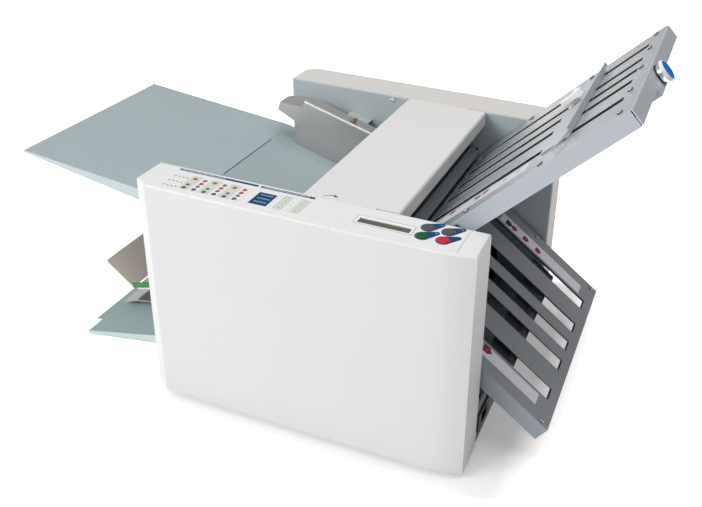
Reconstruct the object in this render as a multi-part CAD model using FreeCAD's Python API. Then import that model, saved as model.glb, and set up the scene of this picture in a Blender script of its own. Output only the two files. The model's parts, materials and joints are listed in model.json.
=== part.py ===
"""Desktop buckle-type paper folding machine, built as separate pieces. Units are millimetres.

Machine axes: X runs along the paper path, from the feed table to the fold plates. Y runs across it,
with the operator's side at -Y. Z points up from the surface that the machine stands on.
While pieces are built, X = 0 is the housings' feed end. export() moves them all so that the
origin is the middle of the machine's footprint.
"""
import FreeCAD
import Part
import math
import os

V = FreeCAD.Vector
X_AXIS = V(1, 0, 0)
Y_AXIS = V(0, 1, 0)
Z_AXIS = V(0, 0, 1)

# ---------------------------------------------------------------- driving dimensions
PAPER_GAP = 350.0             # between the two housings
HOUSING_LENGTH = 444.0
HOUSING_HEIGHT = 315.0
HOUSING_BELLY = 61.0          # depth of a housing at the middle of its bowed face
HOUSING_SHOULDER = 59.0       # depth where the bowed face meets the slanted corner
HOUSING_END = 47.0            # depth of the feed end face
CORNER_LENGTH = 19.0          # length along X of the slanted corner
TURN_LENGTH = 48.0            # length along X over which the face turns in at the other end
TURN_START = 60.0             # depth where that turn starts
TURN_MIDDLE = 57.9            # depth half way along it
TURN_END = 52.3               # depth of the fold plate end face
HOUSING_WALL = 3.0
HOUSING_EDGE_R = 2.5          # rounding of the top edges
HOUSING_LIFT = 8.0            # underside of the housings above the standing surface
FOOT_HEIGHT = 10.0
FOOT_R = 15.0
FOOT_INSET_X = 45.0
FOOT_INSET_Y = 32.0

FRAME_T = 3.0                 # side frame plates
FRAME_INSET = 1.5             # frame outline inside the housing outline
BASE_T = 3.0
BASE_X0 = 20.0
BASE_END_GAP = 1.0            # base panel inside the housings' ends
BASE_END_HEIGHT = 62.0        # upright end panel of the base

COVER_X0 = 204.0
COVER_X1 = 331.0
COVER_T = 2.5
COVER_DROP = 21.0             # depth of the cover's outer flange
COVER_LIP = 11.0              # depth of the cover's inner lip
COVER_BEND_R = 6.0
COVER_GAP = 0.6               # to the housings on each side
COVER_WIDE_BACK = 20.0        # the part that lies on the side frames ends this far from the hinge
HINGE_BACK = 10.0             # cover hinge axis, in from the outer flange
HINGE_DOWN = 11.0             # and below the cover's top
HINGE_PIN_R = 3.0

TABLE_REACH = 253.0           # how far the feed table stands out of the housings
TABLE_Z = 278.5               # its top at the outer end
TABLE_SLOPE = 6.0             # degrees down towards the machine
TABLE_HALF = 148.0
TABLE_T = 1.5
TABLE_RIM = 3.0               # rim depth at the outer end
TABLE_RIM_INNER = 23.0        # rim depth at the housings
KINK_X = 5.0                  # where the table meets the steeper inner bed
BED_SLOPE = 16.5
BED_LENGTH = 212.0            # along the slope
LIFT_HALF = 92.0              # half width of the lift plate
LIFT_LENGTH = 200.0
LIFT_T = 2.0
LIFT_LIP = 8.0
LIFT_GAP = 2.0                # between the lift plate and the bed strips
LIFT_PIN_R = 3.0
LIFT_TRAVEL = 12.0            # degrees that the lift plate rises
LIFT_START = 4.0              # its outer edge, along the bed slope
LIFT_PIVOT_ALONG = 12.0
LIFT_PIVOT_DOWN = 9.0
BED_JOIN = 2.2                # strip of the bed between the table and the lift plate

SPRING_X = 140.0              # along the bed slope
SPRING_Y = 50.0
SPRING_R = 7.0
SPRING_WIRE = 0.9
SPRING_TURNS = 6
SPRING_SEAT_Z = 166.0
SPRING_BAR_T = 6.0
SPRING_BAR_W = 24.0

GUIDE_Y = 108.0               # inner face of each side guide
GUIDE_T = 1.5
GUIDE_X0 = 31.0               # ends of the guides along the bed slope
GUIDE_X1 = 198.0
REAR_GUIDE_HEIGHT = 76.0
FRONT_GUIDE_HEIGHT = 46.0
GUIDE_FOOT = 16.0
GUIDE_BEAD_R = 3.0
GUIDE_LIFT = 0.8              # lower edge of the sliding guide above the bed
SHELF_DROP = 12.0             # guide shelf below the top of the bead
SHELF_OUT = 43.0
SHELF_TAIL = 39.0             # level tail of the shelf towards the feed end
GUIDE_OUTWARD = 9.0           # guide travel
GUIDE_INWARD = 12.0
KNOB_ALONG = 107.0            # lock knob, along the bed slope
KNOB_Y = 133.0
KNOB_R = 6.0
KNOB_HEIGHT = 12.0
KNOB_STEM_R = 2.2

ROLLER_R = 17.35
ROLLER_PITCH = 35.0           # centre distance of meshing fold rollers
ROLLER_HALF = 165.0
ROLLER_2_X = 310.4
ROLLER_2_Z = 218.0
ROLLER_1_ANGLE = 108.0        # directions of the others, seen from fold roller 2
ROLLER_3_ANGLE = -2.8
ROLLER_4_ANGLE = -71.0
JOURNAL_R = 6.0
GEAR_TEETH = 28
GEAR_WIDTH = 8.0
GEAR_Y = 178.5
PULLEY_GAP = 1.0
PULLEY_WIDTH = 8.0
PULLEY_FLANGE = 1.0
MAIN_PULLEY_R = 20.0
SMALL_PULLEY_R = 10.0
FEED_PULLEY_R = 14.0
TRANSPORT_PULLEY_R = 12.0
BELT_T = 1.5
BELT_CLEARANCE = 0.3
RUNNING_CLEARANCE = 0.05
BUSH_R = 9.0
BUSH_FLANGE_R = 11.0
BUSH_FLANGE_T = 2.0

WALL_X = 219.0                # stack wall
WALL_TOP_Z = 236.0
WALL_T = 2.0
WALL_BOTTOM_Z = 180.0
INFEED_END_X = 287.0
INFEED_END_Z = 229.5
PAD_X = 236.0                 # separator pad
PAD_LENGTH = 22.0
PAD_HALF = 20.0
PAD_T = 2.5
FEED_ROLLER_R = 18.5
FEED_ROLLER_HALF = 18.0
FEED_SHAFT_R = 6.0

TRANSPORT_X = 276.0
TRANSPORT_Z = 163.5
CHUTE_SLOPE = 16.8
CHUTE_RUN = 245.0             # between the transport and exit shafts, along the slope
WHEEL_R = 12.0
WHEEL_Y = 80.0
WHEEL_WIDTH = 16.0
FLAT_BELT_WIDTH = 14.0
CHUTE_T = 1.5
CHUTE_BELOW = 1.0             # chute sheet below the belts' upper run
CHUTE_SLOT_SIDE = 2.0         # clearance of its slots beside each wheel
CHUTE_END = 26.0              # sheet beyond each shaft
CHUTE_SLOT_END = 19.0

MOTOR_X = 330.0
MOTOR_Z = 62.0
MOTOR_R = 30.0
MOTOR_LENGTH = 96.0
MOTOR_FLANGE = 74.0
MOTOR_FLANGE_T = 4.0
MOTOR_SHAFT_R = 4.0

PLATE_T = 1.5                 # sheet of both fold plates
PAPER_SLOT = 8.0              # between the two sheets of a fold plate
UPPER_DEPTH = 22.0            # side flanges of the fold plates
LOWER_DEPTH = 24.0
UPPER_X = 576.0               # outer edge of the upper fold plate's top
UPPER_Z = 497.5
UPPER_ANGLE = 43.9
UPPER_HALF = 165.0
UPPER_LENGTH = 332.0
UPPER_SHIFT = 5.0             # the slots' pattern is off centre
UPPER_SLOT_W = 14.0
UPPER_SLOT_END = 22.0
UPPER_BEND_R = 5.0
NOSE_LENGTH = 16.0            # bent tips between the slots
NOSE_ANGLE = 18.0
LOWER_X = 532.8
LOWER_Z = 58.0
LOWER_ANGLE = -36.9
LOWER_HALF = 165.5
LOWER_LENGTH = 222.0
LOWER_SHIFT = -1.3
LOWER_SLOT_W = 22.4
LOWER_SLOT_END = 14.0
LOWER_OPEN_END = 11.5         # the bottom sheet's openings end further out
LOWER_OPEN_REAR = 24.0        # and reach this far to the rear of each slot's middle
SLOT_OFFSETS = (-105.0, -44.0, 0.0, 44.0, 105.0)
LOWER_SLOT_OFFSETS = (-107.7, -45.4, 0.0, 45.4, 108.0)
SEAM = 1.3                    # open corner between a plate's end and side flanges
TAB_LENGTH = 9.0              # tab of the end flange behind that corner

STOP_GAP = 0.3
STOP_T = 1.5
UPPER_STOP_U = -94.0          # the upright edge of the upper stop
STOP_WIDTH = 41.0
STOP_NEAR = -115.0
STOP_FAR = 126.0
STOP_FLANGE_NEAR = -102.0
STOP_FLANGE_FAR = 146.0
STOP_FLANGE_H = 8.5
STOP_POINTER = 45.0
FINGER_W = 3.6
FINGER_LENGTH = 10.0
SCREW_HEAD_GAP = 3.2          # parts of the stop that pass over screw heads
LOWER_STOP_U = -70.5
CLAMP_U = -124.0
CLAMP_V = 68.0
CLAMP_LENGTH = 26.0
CLAMP_W = 12.0
CLAMP_T = 6.0
CLAMP_LIFT = 3.0
CLAMP_PIN_R = 3.0
ADJUST_V = -12.0
ADJUST_W = -17.0
ADJUST_HUB_R = 11.4
ADJUST_WASHER_R = 12.8
ADJUST_WASHER_T = 1.5
ADJUST_KNOB_R = 13.6
ADJUST_DISC = 5.0             # thickness of the knob's disc
ADJUST_STEM_R = 4.0
ADJUST_RIM_FILLET = 1.4
BRACKET_NEAR = -52.0
BRACKET_FAR = 12.0
BRACKET_DEPTH = 31.0
BRACKET_INWARD = 26.0         # how far its floor and cheeks reach in from the plate's end
BRACKET_T = 2.0

GUARD_X = 314.5               # upper edge of the strip above the mouth of the upper plate
GUARD_Z = 267.0
GUARD_WIDTH = 15.5
GUARD_T = 2.0
GUARD_SLOPE = 40.6

HOOK_T = 5.5
HOOK_HALF = 13.0
HOOK_RISE = 9.0               # height of a hook above its pin
HOOK_PIN_R = 3.5
HOOK_CLEARANCE = 0.3
UPPER_PIN_US = (-318.0, -262.0)
LOWER_PIN_US = (-196.0, -158.0)
PIN_W = -13.0

TRAY_X0 = -166.0
TRAY_STEP = 12.0              # the outer edge steps out by this much
TRAY_STEP_Y = -138.0
TRAY_X1 = 34.0
TRAY_Z0 = 7.0                 # top of the tray at its outer edge
TRAY_SLOPE = 12.5
TRAY_HALF = 170.0
TRAY_T = 1.5
TRAY_RIM_OUTER = 6.0
TRAY_RIM_INNER = 18.0
TRAY_PIN_R = 3.0
STACKER_U0 = 10.5             # along the tray, from its outer edge
STACKER_BEND = 36.0
STACKER_U1 = 176.0
STACKER_HALF = 97.0
STACKER_LOW = 6.0             # heights above the tray
STACKER_HIGH = 9.0
STACKER_END = 4.0
STACKER_T = 1.2
STACKER_FOOT_US = (70.0, 140.0)

DEFLECTOR_TOP_X = -134.0
DEFLECTOR_TOP_Z = 126.0
DEFLECTOR_LOW_X = -91.0
DEFLECTOR_LOW_Z = 91.0
DEFLECTOR_HALF = 148.0
DEFLECTOR_T = 1.5
DEFLECTOR_PIVOT_X = 14.0
DEFLECTOR_PIVOT_Z = 122.0
DEFLECTOR_PIN_R = 3.0
ARM_T = 2.0
ARM_W = 14.0

PANEL_T = 0.4                 # printed control panel sheet
PANEL_X0 = 26.0
PANEL_BACK = 24.0             # its end, back from the housings' fold plate end
PANEL_Y0 = -227.0
PANEL_Y1 = -178.5
WINDOW_BACK = (151.0, 86.5)   # display window, back from that end
WINDOW_Y0 = -211.0
WINDOW_Y1 = -200.0
BUTTON_R = 7.0
BUTTON_RISE = 1.2
BUTTON_TRAVEL = 1.2
BUTTON_GAP = 0.3
BUTTON_BACK = (71.0, 46.0)
BUTTON_ROWS = (-190.0, -210.0)
BUTTON_SKIRT = 9.0
BOARD_DROP = 20.0             # board below the housing's top
BOARD_T = 1.6
BOARD_BACK = (168.0, 20.0)
BOARD_Y0 = -224.0
BOARD_Y1 = -180.0
SWITCH_SIDE = 6.0

INLET_Y = -146.0
INLET_Z = 40.0
INLET_W = 47.0
INLET_H = 27.0
SOCKET_W = 24.0
SOCKET_H = 16.5
INLET_DEPTH = 26.0
ROCKER_Y = -100.0
ROCKER_W = 13.0
ROCKER_H = 20.0
ROCKER_GAP = 0.4
ROCKER_TILT = 7.0             # degrees either way

TIE_R = 6.0
TIE_PLACES = ((24.0, 190.0), (190.0, 104.0), (378.0, 60.0), (373.0, 226.0))
INNER_SCREWS = ((178.0, 4.5),)                  # along X, and below the frame's top
CARRIER_PLACES = (20.0, 160.0)                  # table carriers, along the bed slope
CARRIER_LENGTH = 30.0
PIVOT_BARREL_R = 3.5          # round barrel of the rocker on its axis
SCREW_R = 3.6
SCREW_HEAD = 2.2
SCREW_SHANK_R = 1.8
SCREW_SHANK = 1.4

# ---------------------------------------------------------------- derived dimensions
HALF_GAP = PAPER_GAP / 2
FRAME_INNER = HALF_GAP - FRAME_T
TOP_Z = HOUSING_LIFT + HOUSING_HEIGHT
BASE_X1 = HOUSING_LENGTH - BASE_END_GAP
PANEL_X1 = HOUSING_LENGTH - PANEL_BACK
WINDOW_X0, WINDOW_X1 = [HOUSING_LENGTH - back for back in WINDOW_BACK]
BUTTON_COLUMNS = [HOUSING_LENGTH - back for back in BUTTON_BACK]
BOARD_X0, BOARD_X1 = [HOUSING_LENGTH - back for back in BOARD_BACK]
ADJUST_REACH = 12.0           # outer face of the adjusting knob beyond the plate's end
upper_sin = math.sin(math.radians(UPPER_ANGLE))
upper_cos = math.cos(math.radians(UPPER_ANGLE))
rim_u = ADJUST_REACH - ADJUST_RIM_FILLET
rim_w = ADJUST_W - ADJUST_KNOB_R + ADJUST_RIM_FILLET
X_RIGHT = UPPER_X + rim_u * upper_cos - rim_w * upper_sin + ADJUST_RIM_FILLET
X_LEFT = -TABLE_REACH - TABLE_RIM * math.sin(math.radians(TABLE_SLOPE))
X_SHIFT = -(X_LEFT + X_RIGHT) / 2
TABLE_DROP = math.tan(math.radians(TABLE_SLOPE))
KINK_Z = TABLE_Z - (TABLE_REACH + KINK_X) * TABLE_DROP
GEAR_MODULE = ROLLER_PITCH / GEAR_TEETH
LAYER_A = GEAR_Y + GEAR_WIDTH + PULLEY_GAP
LAYER_B = LAYER_A + PULLEY_WIDTH + 3 * PULLEY_GAP
PAPER_FLOOR = -PLATE_T - PAPER_SLOT
FRAME_TOP = TOP_Z - FRAME_INSET
COVER_SEAT_Z = TOP_Z - COVER_T - COVER_GAP


# ---------------------------------------------------------------- helpers
def box(x0, y0, z0, x1, y1, z1):
    """A block between two corners."""
    low = V(min(x0, x1), min(y0, y1), min(z0, z1))
    return Part.makeBox(abs(x1 - x0), abs(y1 - y0), abs(z1 - z0), low)


def rod(x, z, r, y0, y1):
    """A round bar along Y."""
    return Part.makeCylinder(r, abs(y1 - y0), V(x, min(y0, y1), z), Y_AXIS)


def pillar(x, y, r, z0, z1):
    """A round bar along Z."""
    return Part.makeCylinder(r, z1 - z0, V(x, y, z0), Z_AXIS)


def profile(points, y0, y1):
    """A polygon in the XZ plane, extruded across the machine."""
    corners = [V(x, y0, z) for x, z in points]
    face = Part.Face(Part.makePolygon(corners + corners[:1]))
    return face.extrude(V(0, y1 - y0, 0))


def plan(points, z0, z1):
    """A polygon in the XY plane, extruded upwards."""
    corners = [V(x, y, z0) for x, y in points]
    face = Part.Face(Part.makePolygon(corners + corners[:1]))
    return face.extrude(V(0, 0, z1 - z0))


def join(shapes):
    """Fuses pieces of one solid."""
    first = shapes[0]
    return first.multiFuse(shapes[1:]).removeSplitter() if len(shapes) > 1 else first


def cut_all(shape, tools):
    """Cuts every tool from a shape."""
    return shape.cut(tools) if tools else shape


def mirror_y(shape):
    """The same piece on the other side of the paper path."""
    return shape.mirror(V(0, 0, 0), Y_AXIS)


def tilt(shape, x, z, degrees):
    """Turns a shape built on local axes so that +X rises by degrees, and moves it to (x, z)."""
    turned = shape.copy()
    turned.rotate(V(0, 0, 0), Y_AXIS, -degrees)
    turned.translate(V(x, 0, z))
    return turned


def in_upper(shape):
    """Local axes of the upper fold plate: X outwards, with 0 at the outer edge, Z out of its top."""
    return tilt(shape, UPPER_X, UPPER_Z, UPPER_ANGLE)


def in_lower(shape):
    """Local axes of the lower fold plate."""
    return tilt(shape, LOWER_X, LOWER_Z, LOWER_ANGLE)


def in_bed(shape):
    """Local axes of the inner bed: X down the slope from the kink, Z out of its surface."""
    return tilt(shape, KINK_X, KINK_Z, -BED_SLOPE)


def in_table(shape):
    """Local axes of the outer table: X from its outer end, Z out of its surface."""
    return tilt(shape, -TABLE_REACH, TABLE_Z, -TABLE_SLOPE)


def in_tray(shape):
    """Local axes of the delivery tray: X from its outer edge, Z out of its surface."""
    return tilt(shape, TRAY_X0, TRAY_Z0, TRAY_SLOPE)


def roller_centre(number):
    """Centre (x, z) of a fold roller."""
    angles = {1: ROLLER_1_ANGLE, 3: ROLLER_3_ANGLE, 4: ROLLER_4_ANGLE}
    if number not in angles:
        return ROLLER_2_X, ROLLER_2_Z
    turn = math.radians(angles[number])
    return ROLLER_2_X + ROLLER_PITCH * math.cos(turn), ROLLER_2_Z + ROLLER_PITCH * math.sin(turn)


def feed_centre():
    """Centre (x, z) of the feed shaft, square to the pad."""
    slope = math.atan2(WALL_TOP_Z - INFEED_END_Z, INFEED_END_X - WALL_X)
    pad_z = WALL_TOP_Z - (PAD_X - WALL_X) * math.tan(slope)
    reach = PAD_T + FEED_ROLLER_R + 2 * BELT_CLEARANCE
    return PAD_X + reach * math.sin(slope), pad_z + reach * math.cos(slope)


def exit_centre():
    """Centre (x, z) of the exit shaft."""
    turn = math.radians(CHUTE_SLOPE)
    return TRANSPORT_X - CHUTE_RUN * math.cos(turn), TRANSPORT_Z - CHUTE_RUN * math.sin(turn)


def loop_face(c1, r1, c2, r2, y):
    """The area inside a tight loop round two circles in the XZ plane."""
    dx = c2[0] - c1[0]
    dz = c2[1] - c1[1]
    span = math.hypot(dx, dz)
    along = math.atan2(dz, dx)
    lean = math.acos((r1 - r2) / span)

    def at(c, r, turn):
        return V(c[0] + r * math.cos(turn), y, c[1] + r * math.sin(turn))

    a1 = at(c1, r1, along + lean)
    a2 = at(c1, r1, along + math.pi)
    a3 = at(c1, r1, along - lean)
    b1 = at(c2, r2, along - lean)
    b2 = at(c2, r2, along)
    b3 = at(c2, r2, along + lean)
    edges = [
        Part.Arc(a1, a2, a3).toShape(),
        Part.LineSegment(a3, b1).toShape(),
        Part.Arc(b1, b2, b3).toShape(),
        Part.LineSegment(b3, a1).toShape(),
    ]
    return Part.Face(Part.Wire(edges))


def belt(c1, r1, c2, r2, y0, width):
    """A flat belt that runs round two pulleys with a small clearance."""
    inner = loop_face(c1, r1 + BELT_CLEARANCE, c2, r2 + BELT_CLEARANCE, y0)
    outer = loop_face(c1, r1 + BELT_CLEARANCE + BELT_T, c2, r2 + BELT_CLEARANCE + BELT_T, y0)
    return outer.cut(inner).extrude(V(0, width, 0))


def pulley(x, z, r, y0):
    """A flanged belt pulley, without its bore."""
    rim = r + BELT_T + 2 * BELT_CLEARANCE
    barrel = rod(x, z, r, y0, y0 + PULLEY_WIDTH)
    near = rod(x, z, rim, y0 - PULLEY_FLANGE, y0)
    far = rod(x, z, rim, y0 + PULLEY_WIDTH, y0 + PULLEY_WIDTH + PULLEY_FLANGE)
    return join([barrel, near, far])


def screw_up(x, y, z):
    """A pan head screw standing on a surface, with a short shank in its hole."""
    head = pillar(x, y, SCREW_R, z, z + SCREW_HEAD)
    rim = [e for e in head.Edges if e.CenterOfMass.z > z + SCREW_HEAD * 0.9]
    rounded = head.makeFillet(SCREW_HEAD * 0.6, rim)
    slot = box(x - SCREW_R, y - 0.5, z + SCREW_HEAD * 0.6, x + SCREW_R, y + 0.5, z + SCREW_HEAD * 2)
    shank = pillar(x, y, SCREW_SHANK_R, z - SCREW_SHANK, z)
    return join([rounded.cut(slot), shank])


# ---------------------------------------------------------------- frame
def housing_outline(depth_less, end_less):
    """Face of a housing seen from above, on the +Y side, set in by the given amounts."""
    y0 = HALF_GAP
    x0 = end_less
    x1 = HOUSING_LENGTH - end_less
    turn = TURN_LENGTH
    left_low = V(x0, y0, 0)
    left_high = V(x0, y0 + HOUSING_END - depth_less, 0)
    left_top = V(x0 + CORNER_LENGTH, y0 + HOUSING_SHOULDER - depth_less, 0)
    middle = V(HOUSING_LENGTH / 2, y0 + HOUSING_BELLY - depth_less, 0)
    turn_start = V(x1 - turn, y0 + TURN_START - depth_less, 0)
    turn_middle = V(x1 - turn / 2, y0 + TURN_MIDDLE - depth_less, 0)
    right_high = V(x1, y0 + TURN_END - depth_less, 0)
    right_low = V(x1, y0, 0)
    edges = [
        Part.LineSegment(left_low, left_high).toShape(),
        Part.LineSegment(left_high, left_top).toShape(),
        Part.Arc(left_top, middle, turn_start).toShape(),
        Part.Arc(turn_start, turn_middle, right_high).toShape(),
        Part.LineSegment(right_high, right_low).toShape(),
        Part.LineSegment(right_low, left_low).toShape(),
    ]
    return Part.Face(Part.Wire(edges))


def housing_shell():
    """One housing on the +Y side, open towards the side frame."""
    body = housing_outline(0, 0).extrude(V(0, 0, HOUSING_HEIGHT))
    body.translate(V(0, 0, HOUSING_LIFT))
    top = [e for e in body.Edges if e.BoundBox.ZMin > TOP_Z - 0.01 and e.BoundBox.YMax > HALF_GAP + 0.01]
    body = body.makeFillet(HOUSING_EDGE_R, top)
    hollow = housing_outline(HOUSING_WALL, HOUSING_WALL).extrude(V(0, 0, HOUSING_HEIGHT - 2 * HOUSING_WALL))
    hollow.translate(V(0, 0, HOUSING_LIFT + HOUSING_WALL))
    return body.cut(hollow)


def make_rear_housing():
    return housing_shell()


def button_places():
    """(x, y) of the buttons: minus, plus, start, stop."""
    return {
        "minus_button": (BUTTON_COLUMNS[0], BUTTON_ROWS[0]),
        "plus_button": (BUTTON_COLUMNS[1], BUTTON_ROWS[0]),
        "start_button": (BUTTON_COLUMNS[0], BUTTON_ROWS[1]),
        "stop_button": (BUTTON_COLUMNS[1], BUTTON_ROWS[1]),
    }


def panel_holes(z0, z1):
    """Cutters for the buttons and the display window."""
    holes = [pillar(x, y, BUTTON_R + BUTTON_GAP, z0, z1) for x, y in button_places().values()]
    holes.append(box(WINDOW_X0, WINDOW_Y0, z0, WINDOW_X1, WINDOW_Y1, z1))
    return holes


def make_front_housing():
    return cut_all(mirror_y(housing_shell()), panel_holes(TOP_Z - 2 * HOUSING_WALL, TOP_Z + 1))


def shaft_places():
    """Centres of every shaft that turns in the side frames."""
    places = [roller_centre(n) for n in (1, 2, 3, 4)]
    return places + [feed_centre(), exit_centre(), (TRANSPORT_X, TRANSPORT_Z)]


def make_side_frame():
    """The +Y side frame plate, with its bush holes and the seat for the cover."""
    x0 = FRAME_INSET
    x1 = HOUSING_LENGTH - FRAME_INSET
    plate = box(x0, FRAME_INNER, HOUSING_LIFT + FRAME_INSET, x1, HALF_GAP, FRAME_TOP)
    seat_end = hinge_x() - COVER_WIDE_BACK + COVER_GAP
    cuts = [box(COVER_X0 - COVER_GAP, FRAME_INNER - 1, COVER_SEAT_Z, seat_end, HALF_GAP + 1, TOP_Z)]
    cuts += [rod(x, z, BUSH_R, FRAME_INNER - 1, HALF_GAP + 1) for x, z in shaft_places()]
    cuts.append(rod(hinge_x(), hinge_z(), HINGE_PIN_R, FRAME_INNER - 1, HALF_GAP + 1))
    return cut_all(plate, cuts)


def make_rear_side_frame():
    motor_hole = rod(MOTOR_X, MOTOR_Z, MOTOR_SHAFT_R + 3, FRAME_INNER - 1, HALF_GAP + 1)
    return make_side_frame().cut(motor_hole)


def make_base_plate():
    """Floor of the machine between the side frames, with the upright panel at the fold plate end."""
    floor = box(BASE_X0, -FRAME_INNER, FOOT_HEIGHT, BASE_X1, FRAME_INNER, FOOT_HEIGHT + BASE_T)
    panel = box(BASE_X1 - BASE_T, -FRAME_INNER, FOOT_HEIGHT, BASE_X1, FRAME_INNER, FOOT_HEIGHT + BASE_END_HEIGHT)
    lip = box(BASE_X0, -FRAME_INNER, FOOT_HEIGHT, BASE_X0 + BASE_T, FRAME_INNER, FOOT_HEIGHT + 4 * BASE_T)
    inlet = box(BASE_X1 - 9, INLET_Y - INLET_W / 2 + 3, INLET_Z - INLET_H / 2 + 3,
                BASE_X1 + 9, INLET_Y + INLET_W / 2 - 3, INLET_Z + INLET_H / 2 - 3)
    rocker = box(BASE_X1 - 9, ROCKER_Y - ROCKER_W / 2 - ROCKER_GAP, INLET_Z - ROCKER_H / 2 - ROCKER_GAP,
                 BASE_X1 + 9, ROCKER_Y + ROCKER_W / 2 + ROCKER_GAP, INLET_Z + ROCKER_H / 2 + ROCKER_GAP)
    return join([floor, panel, lip]).cut([inlet, rocker])


def make_feet():
    places = [(x, side * (FRAME_INNER - FOOT_INSET_Y))
              for x in (FOOT_INSET_X, HOUSING_LENGTH - FOOT_INSET_X) for side in (-1, 1)]
    return [Part.makeCone(FOOT_R - 2, FOOT_R, FOOT_HEIGHT, V(x, y, 0)) for x, y in places]


def make_tie_bars():
    return [rod(x, z, TIE_R, -FRAME_INNER, FRAME_INNER) for x, z in TIE_PLACES]


def frame_screw(x, z, y, outward):
    """A screw head on a side frame's face at y, standing out along +Y or -Y."""
    screw = screw_up(0, 0, 0)
    screw.rotate(V(0, 0, 0), X_AXIS, -90 * outward)
    head_only = screw.cut(box(-9, -9 * outward, -9, 9, 0, 9))
    head_only.translate(V(x, y, z))
    return head_only


def make_machine_screws():
    """Screws of the tie bars outside the frames, and those on the inner faces near the cover."""
    screws = []
    for side in (-1, 1):
        screws += [frame_screw(x, z, side * HALF_GAP, side) for x, z in TIE_PLACES]
        screws += [frame_screw(x, FRAME_TOP - down, side * FRAME_INNER, -side) for x, down in INNER_SCREWS]
    return screws


def make_shaft_bushes():
    """Flanged bushes of all shafts, in both side frames."""
    bushes = []
    for x, z in shaft_places():
        sleeve = rod(x, z, BUSH_R, FRAME_INNER, HALF_GAP)
        flange = rod(x, z, BUSH_FLANGE_R, HALF_GAP, HALF_GAP + BUSH_FLANGE_T)
        bore = rod(x, z, JOURNAL_R + RUNNING_CLEARANCE, FRAME_INNER - 1, HALF_GAP + BUSH_FLANGE_T + 1)
        bush = join([sleeve, flange]).cut(bore)
        bushes += [bush, mirror_y(bush)]
    return bushes


# ---------------------------------------------------------------- cover
def hinge_x():
    return COVER_X1 - HINGE_BACK


def hinge_z():
    return TOP_Z - HINGE_DOWN


def make_top_cover():
    """Bent sheet over the rollers, with a flange at each end and an ear at each side."""
    half = HALF_GAP - COVER_GAP
    low_half = FRAME_INNER - COVER_GAP
    wide_end = hinge_x() - COVER_WIDE_BACK
    wide = box(COVER_X0, -half, TOP_Z - COVER_T, wide_end, half, TOP_Z)
    top = box(COVER_X0, -low_half, TOP_Z - COVER_T, COVER_X1, low_half, TOP_Z)
    drop = box(COVER_X1 - COVER_T, -low_half, TOP_Z - COVER_DROP, COVER_X1, low_half, TOP_Z)
    lip = box(COVER_X0, -low_half, TOP_Z - COVER_LIP, COVER_X0 + COVER_T, low_half, TOP_Z)
    body = join([wide, top, drop, lip])
    bends = [e for e in body.Edges
             if e.BoundBox.ZMin > TOP_Z - 0.01 and e.BoundBox.YLength > low_half]
    body = body.makeFillet(COVER_BEND_R - COVER_T, bends)
    ear_x = hinge_x() - HINGE_PIN_R - 4
    ears = []
    for side in (-1, 1):
        ear = box(ear_x, side * (low_half - COVER_T), hinge_z() - HINGE_PIN_R - 3,
                  COVER_X1 - COVER_T, side * low_half, TOP_Z - COVER_T)
        ears.append(ear.cut(rod(hinge_x(), hinge_z(), HINGE_PIN_R + RUNNING_CLEARANCE, -HALF_GAP, HALF_GAP)))
    return join([body] + ears)


def make_cover_hinge_pins():
    inner = FRAME_INNER - COVER_GAP - COVER_T - 2
    pin = join([rod(hinge_x(), hinge_z(), HINGE_PIN_R, inner, HALF_GAP),
                rod(hinge_x(), hinge_z(), HINGE_PIN_R + 1.5, inner - 1.5, inner + 1.9)])
    return [pin, mirror_y(pin)]


# ---------------------------------------------------------------- feed
def make_feed_table():
    """Outer sheet with its deepening rim, and two strips of the inner bed beside the lift plate."""
    length = (TABLE_REACH + KINK_X) / math.cos(math.radians(TABLE_SLOPE))
    sheet = box(0, -TABLE_HALF, -TABLE_T, length, TABLE_HALF, 0)
    outer_rim = box(0, -TABLE_HALF, -TABLE_RIM, TABLE_T, TABLE_HALF, 0)
    rim_points = [(0, 0), (length, 0), (length, -TABLE_RIM_INNER), (TABLE_T, -TABLE_RIM)]
    rear_rim = profile(rim_points + [(0, -TABLE_RIM)], TABLE_HALF - TABLE_T, TABLE_HALF)
    outer = in_table(join([sheet, outer_rim, rear_rim, mirror_y(rear_rim)]))
    inner_edge = LIFT_HALF + LIFT_GAP
    strip = box(0, inner_edge, -TABLE_T, BED_LENGTH, TABLE_HALF, 0)
    skirt = box(0, TABLE_HALF - TABLE_T, -TABLE_RIM_INNER, BED_LENGTH, TABLE_HALF, 0)
    ear = box(2, inner_edge, -16, 22, inner_edge + 3, 0)
    ear = ear.cut(rod(LIFT_PIVOT_ALONG, -LIFT_PIVOT_DOWN, LIFT_PIN_R + RUNNING_CLEARANCE, 0, TABLE_HALF))
    side = in_bed(join([strip, skirt, ear]))
    joint = in_bed(box(0, -TABLE_HALF, -TABLE_T, BED_JOIN, TABLE_HALF, 0))
    return join([outer, joint, side, mirror_y(side)])


def lift_pivot():
    """World (x, z) of the lift plate's hinge."""
    turn = math.radians(BED_SLOPE)
    x = LIFT_PIVOT_ALONG
    z = -LIFT_PIVOT_DOWN
    return KINK_X + x * math.cos(turn) + z * math.sin(turn), KINK_Z - x * math.sin(turn) + z * math.cos(turn)


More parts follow.
